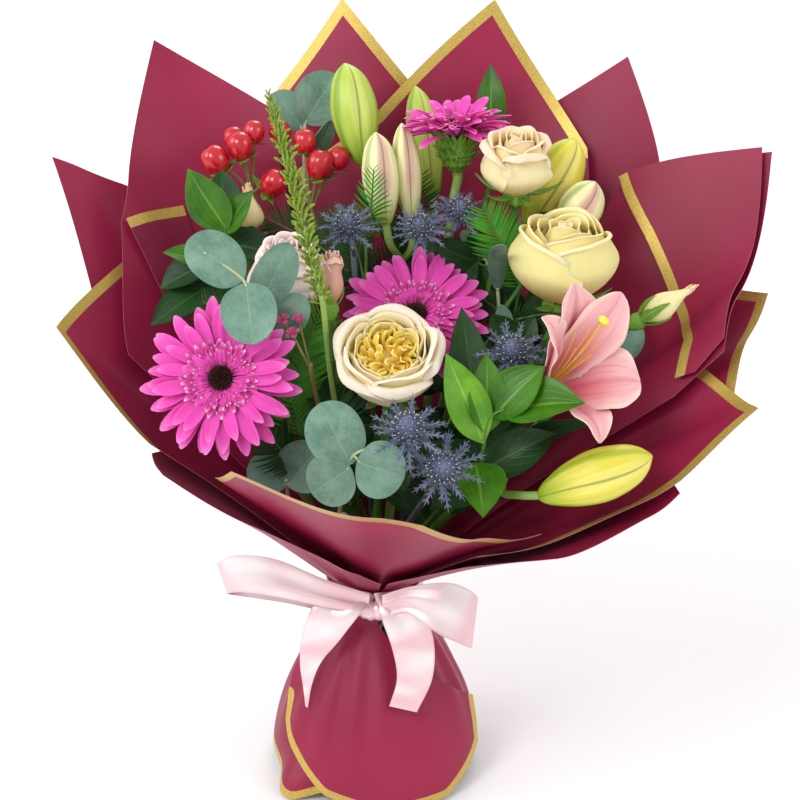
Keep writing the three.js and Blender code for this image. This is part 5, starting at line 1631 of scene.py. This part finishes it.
def cutPlaces(corners, parts=24):
    # azimuths and slants along straight cuts between neighbouring corners
    azimuths, slants = [], []
    for first, last in zip(corners, corners[1:]):
        azimuth = np.linspace(first[0], last[0], parts)
        steep = abs(first[0] - last[0]) < 2
        slant = np.linspace(first[1], last[1], parts) if steep else straightEdge(first, last, azimuth)
        keep = slice(1 if azimuths else 0, None)  # the corner two cuts share is wanted once
        azimuths.append(azimuth[keep])
        slants.append(slant[keep])
    return np.concatenate(azimuths), np.concatenate(slants)


def cupLine(corners, layer):
    return cupPoint(*cutPlaces(corners), layer)


# Corners are (azimuth, slant) along the top and (azimuth, drop) along the hem. Gold lists the
# edges that carry the printed border, each with its own corners; a flap is folded inwards.
filmSheets = {
    "film_back_right": {"layer": 0, "top": [(36, 252), (42, 283), (65.5, 357), (90, 276), (112, 245)],
                        "gold": [[(42, 283), (65.5, 357)], [(65.5, 357), (90, 276), (112, 245)]]},
    "film_left_tall": {
        "layer": 0, "top": [(116, 288), (132.5, 349), (157, 254), (176, 190)], "flap": {
            # the low tone paints this flap darker, as painted shade: the flap lies in shadow
            "tone": 0.3, "border": "top", "first": [(170, 110), (166.2, 145), (160.4, 198), (157.4, 254)],
            "last": [(148, 110), (146, 160), (144, 205), (141.7, 243.9)]}},
    "film_right_tall": {
        "layer": 0, "top": [(-9, 206), (-7, 247), (14, 342), (31, 270)], "flap": {
            "tone": 0.5, "border": "first",
            "first": [(-7.6, 212.9), (-2.8, 228.9), (8, 234.7), (19, 252.9), (29.9, 274)],
            "last": [(-8.6, 226), (-6.6, 252), (5, 295), (14, 340.5), (30.5, 274.5)]}},
    "film_front_collar": {
        "layer": 0, "top": [(228, 160), (243, 208), (256, 192), (280, 181), (308, 132), (315, 138)],
        "gold": [[(228, 160), (243, 208)], [(243, 208), (256, 192), (280, 181), (308, 132), (315, 138)]],
        "borders": (4.5, 11)},
    "film_back_left": {
        "layer": 1, "top": [(62, 262), (81.5, 299), (97, 352), (116, 289), (131, 250)],
        "hem": [(48, 96), (90, 108), (134, 98)],
        "gold": [[(62, 262), (81.5, 299), (97, 352)], [(97, 352), (116, 289), (131, 250)]]},
    "film_back_corner": {"layer": 1, "top": [(14, 250), (27, 289), (45, 349), (53, 306), (58, 290)]},
    "film_left": {
        "layer": 1, "top": [(152, 226), (155, 233), (181, 236), (205, 168)],
        "hem": [(138, 84), (170, 96), (200, 100), (229, 108), (252, 98)], "kick": (15, 225, 12),
        "gold": [[(152, 226), (155, 233), (181, 236)], [(181, 236), (205, 168)]]},
    "film_right_low": {
        "layer": 1, "top": [(303, 108), (315, 135), (334, 205), (343, 256), (355, 228), (371, 190)],
        "hem": [(316, 92), (340, 96), (404, 88)],
        "gold": [[(303, 108), (315, 135), (334, 205), (343, 256)], [(343, 256), (355, 228), (371, 190)]]},
    "film_left_dark": {"layer": 2, "top": [(140, 262), (144, 275), (154, 311), (164, 230), (178, 180)]},
    "film_right_back": {"layer": 2, "top": [(-11, 200), (-8, 235), (5.7, 280), (10.6, 262), (32, 215)],
                        "gold": [[(-11, 200), (-8, 235), (5.7, 280)], [(5.7, 280), (10.6, 262), (32, 215)]]},
    "film_back_low": {"layer": 2, "top": [(37, 150), (90, 180), (135, 150)],
                      "gold": [[(37, 150), (90, 180), (135, 150)]]},
    "film_front_left": {
        "layer": 2, "top": [(184, 130), (199, 154), (215, 165), (237, 129), (262, 50), (275, 26)],
        "hem": [(205, 52), (210, 66), (244, 100), (272, 108), (308, 106), (338, 82), (346, 58)],
        "spread": 46},
    "film_front_right": {"layer": 2, "top": [(280, 26), (300, 96), (311, 155), (335, 198), (344, 180)]},
}


def filmArea(grid):
    a, b, c, d = grid[:-1, :-1], grid[1:, :-1], grid[1:, 1:], grid[:-1, 1:]
    half = np.linalg.norm(np.cross(b - a, c - a), axis=2) + np.linalg.norm(np.cross(c - a, d - a), axis=2)
    return half.sum() / 2


def flatSize(sheet, grid):
    # the rectangle that the cut fits in once its cone is unrolled, with the skirt below it
    azimuth = filmColumns(sheet["top"])
    middle = (azimuth[0] + azimuth[-1]) / 2
    unroll = unrolledAt(middle)
    apex = wrap["waistRadius"] / unroll
    reach = apex + topEdge(sheet["top"], azimuth)
    turn = np.radians(azimuth - middle) * unroll
    x, y = reach * np.sin(turn), reach * np.cos(turn) - apex
    hem = np.linalg.norm(np.diff(grid[0], axis=0), axis=1).sum() / mm
    low = wrap["waistTop"] - wrap["tuckBottom"]
    if "hem" in sheet:
        low = max(drop for _, drop in sheet["hem"]) + wrap["waistTop"] - wrap["waistBottom"]
    return max(np.ptp(x), hem) * mm, (y.max() - min(y.min(), 0) + low) * mm


def addFlap(skin, layer, flap):
    # a part of the sheet that is folded inwards and lies on it, between two lines of corners
    share = np.linspace(0, 1, 25)
    sides = zip(cutPlaces(flap["first"], 12), cutPlaces(flap["last"], 12))
    azimuth, slant = (one[:, None] + (other - one)[:, None] * share for one, other in sides)
    grid = cupPoint(azimuth, slant, layer - 0.45)
    skin.slab(grid, "wrappingFilm", flap["tone"], wrap["thick"] * mm, "filmEdge")
    return grid[-1] if flap["border"] == "top" else grid[:, 0]


def makeFilm(node, sheet):
    skin = Skin()
    layer = sheet["layer"]
    shape = {key: sheet[key] for key in ("top", "hem", "spread", "kick") if key in sheet}
    grid = filmGrid(layer, **shape)
    skin.slab(grid, "wrappingFilm", 0.5, wrap["thick"] * mm, "filmEdge")
    first = skin.total
    folded = addFlap(skin, layer, sheet["flap"]) if "flap" in sheet else None
    piece = skin.piece(node, "film_burgundy")
    points = read(piece.data.vertices, "co", 3)
    far = np.full((len(points), 3), 99.0)
    borders = sheet.get("borders", (filmBorder, filmBorder))
    for number, corners in enumerate(sheet.get("gold", ())):
        edge = fromLine(points[:first], cupLine(corners, layer))
        far[:first, number] = edge * filmBorder / borders[number]
    if "hem" in sheet:
        far[:, 2] = fromLine(points, grid[0]) * filmBorder / wrap["hemBorder"]
    if folded is not None:
        far[first:, 0] = fromLine(points[first:], folded)
    piece.data.attributes.new("fromEdge", "FLOAT_VECTOR", "POINT").data.foreach_set("vector", far.ravel())
    width, length = flatSize(sheet, grid)
    round(min(filmArea(grid), 0.99 * width * length), 4)


for node, sheet in filmSheets.items():
    makeFilm(node, sheet)

print("stage: twine and ribbon")
ties = {"height": 121.5, "twineRadius": 23.6, "twineThick": 1.2, "bandRadius": 30.4, "bandHalf": 6.5,
        "bandHeight": 124, "ribbonThick": 0.35, "knot": (0, -36, 124), "knotSize": (10, 6, 6.5)}


def closedTurns(turns, radius, z):
    # a section carried round the stems, as a grid of points
    places = (radius * np.cos(turns), radius * np.sin(turns), z)
    return np.stack(np.broadcast_arrays(*places), axis=2) * mm


def makeTwine():
    skin = Skin()
    turns = np.linspace(0, fullTurn, 97)[:-1, None]
    angle = fullTurn * np.arange(10)[None, :] / 10
    thick = ties["twineThick"] * 0.95
    lay = 0.16 * np.sin(3 * (angle + 24 * turns))
    radius = ties["twineRadius"] + thick * np.cos(angle) + lay
    skin.ring(closedTurns(turns, radius, ties["height"] + thick * np.sin(angle)), "twineStraw")
    skin.piece("twine", "twine_straw", "twineRing")


ribbonStrips = {  # places of the two edges of the ribbon, in turn along it
    "leftLoop": [
        ((-4, 102, 91), (-4, 88, 91)), ((-34, 112, 100), (-36, 94, 98)), ((-66, 125, 108), (-64, 100, 105)),
        ((-92, 127, 108), (-86, 103, 104)), ((-103, 121, 98), (-96, 102, 96)),
        ((-90, 122, 88), (-84, 100, 86)),
        ((-60, 118, 84), (-58, 96, 83)), ((-30, 107, 84), (-30, 90, 82)), ((-6, 99, 82), (-6, 87, 82))],
    "rightLoop": [
        ((4, 101, 91), (6, 87, 90)), ((24, 107, 99), (22, 90, 96)), ((48, 109, 104), (38, 78, 100)),
        ((62, 104, 101), (56, 69, 98)), ((66, 98, 92), (62, 67, 90)), ((50, 103, 84), (42, 75, 84)),
        ((24, 102, 82), (24, 86, 82)), ((4, 98, 82), (4, 87, 82))],
    "leftTail": [
        ((-26, 108, 84), (0, 101, 86)), ((-41, 93, 91), (-10, 89, 95)), ((-48, 73, 84), (-24, 71, 89)),
        ((-49, 56, 76), (-35, 58, 79)), ((-47, 42, 71), (-41, 44, 73)), ((-45.5, 29, 69), (-44, 28, 69))],
    "rightTail": [
        ((-1, 102, 86), (20, 105, 88)), ((4, 86, 91), (31, 90, 95)), ((11, 66, 88), (38, 71, 92)),
        ((14, 47, 85), (37, 47, 88)), ((9, 29, 84), (27, 25, 85))],
}


def ribbonGrid(stations):
    # a smooth strip between two edge curves, with soft lengthwise folds that open from the knot
    one, other = (curveThrough([onFace(place) for place in side], 8) for side in zip(*stations))
    s = np.linspace(0, 1, 15)[None, :, None]
    grid = one[:, None] * (1 - s) + other[:, None] * s
    normal = np.cross(unit(np.gradient(grid, axis=0)), unit(np.gradient(grid, axis=1)))
    width = np.linalg.norm(one - other, axis=1)[:, None, None]
    t = np.linspace(0, 1, len(one))[:, None, None]
    fold = np.sin(s * fullTurn * 1.5 + 0.6) * (1 - smooth(t, 0.0, 0.55))
    return grid + normal * fold * width * 0.055


def makeRibbon():
    skin = Skin()
    turns = np.linspace(0, fullTurn, 73)[:-1, None]
    heights = np.linspace(-1, 1, 13)
    outer = ties["bandRadius"] + 0.3 + 0.22 * np.sin(heights * 9) * (1 + 0.3 * np.sin(turns * 5))
    section = np.concatenate([outer, np.full(outer.shape, ties["bandRadius"] - 0.3)], axis=1)
    z = np.concatenate([heights, heights[::-1]]) * ties["bandHalf"] + ties["bandHeight"]
    skin.ring(closedTurns(turns, section, z), "satin")
    makeKnot(skin)
    for strip in ribbonStrips.values():
        skin.slab(ribbonGrid(strip), "satin", 0.5, ties["ribbonThick"] * mm)
    piece = skin.piece("ribbon", "satin_pink", "satinRibbon")


def makeKnot(skin):
    # the knot is the ribbon drawn round itself: a puffed roll with folds across it
    polar = np.linspace(0.03, math.pi - 0.03, 28)[:, None]
    angle = (fullTurn * np.arange(36) / 36)[None, :]
    puff = np.sin(polar)**0.8 * (1 + 0.07 * np.sin(polar * 11 + 0.8 * np.sin(angle)) * np.sin(polar))
    places = np.broadcast_arrays(-np.cos(polar), puff * np.cos(angle), puff * np.sin(angle))
    skin.tube((np.stack(places, axis=2) * ties["knotSize"] + ties["knot"]) * mm, "satin")


makeTwine()
makeRibbon()

for stamp in stamps:
    mesh = stamp.data
    bpy.data.objects.remove(stamp)
    bpy.data.meshes.remove(mesh)
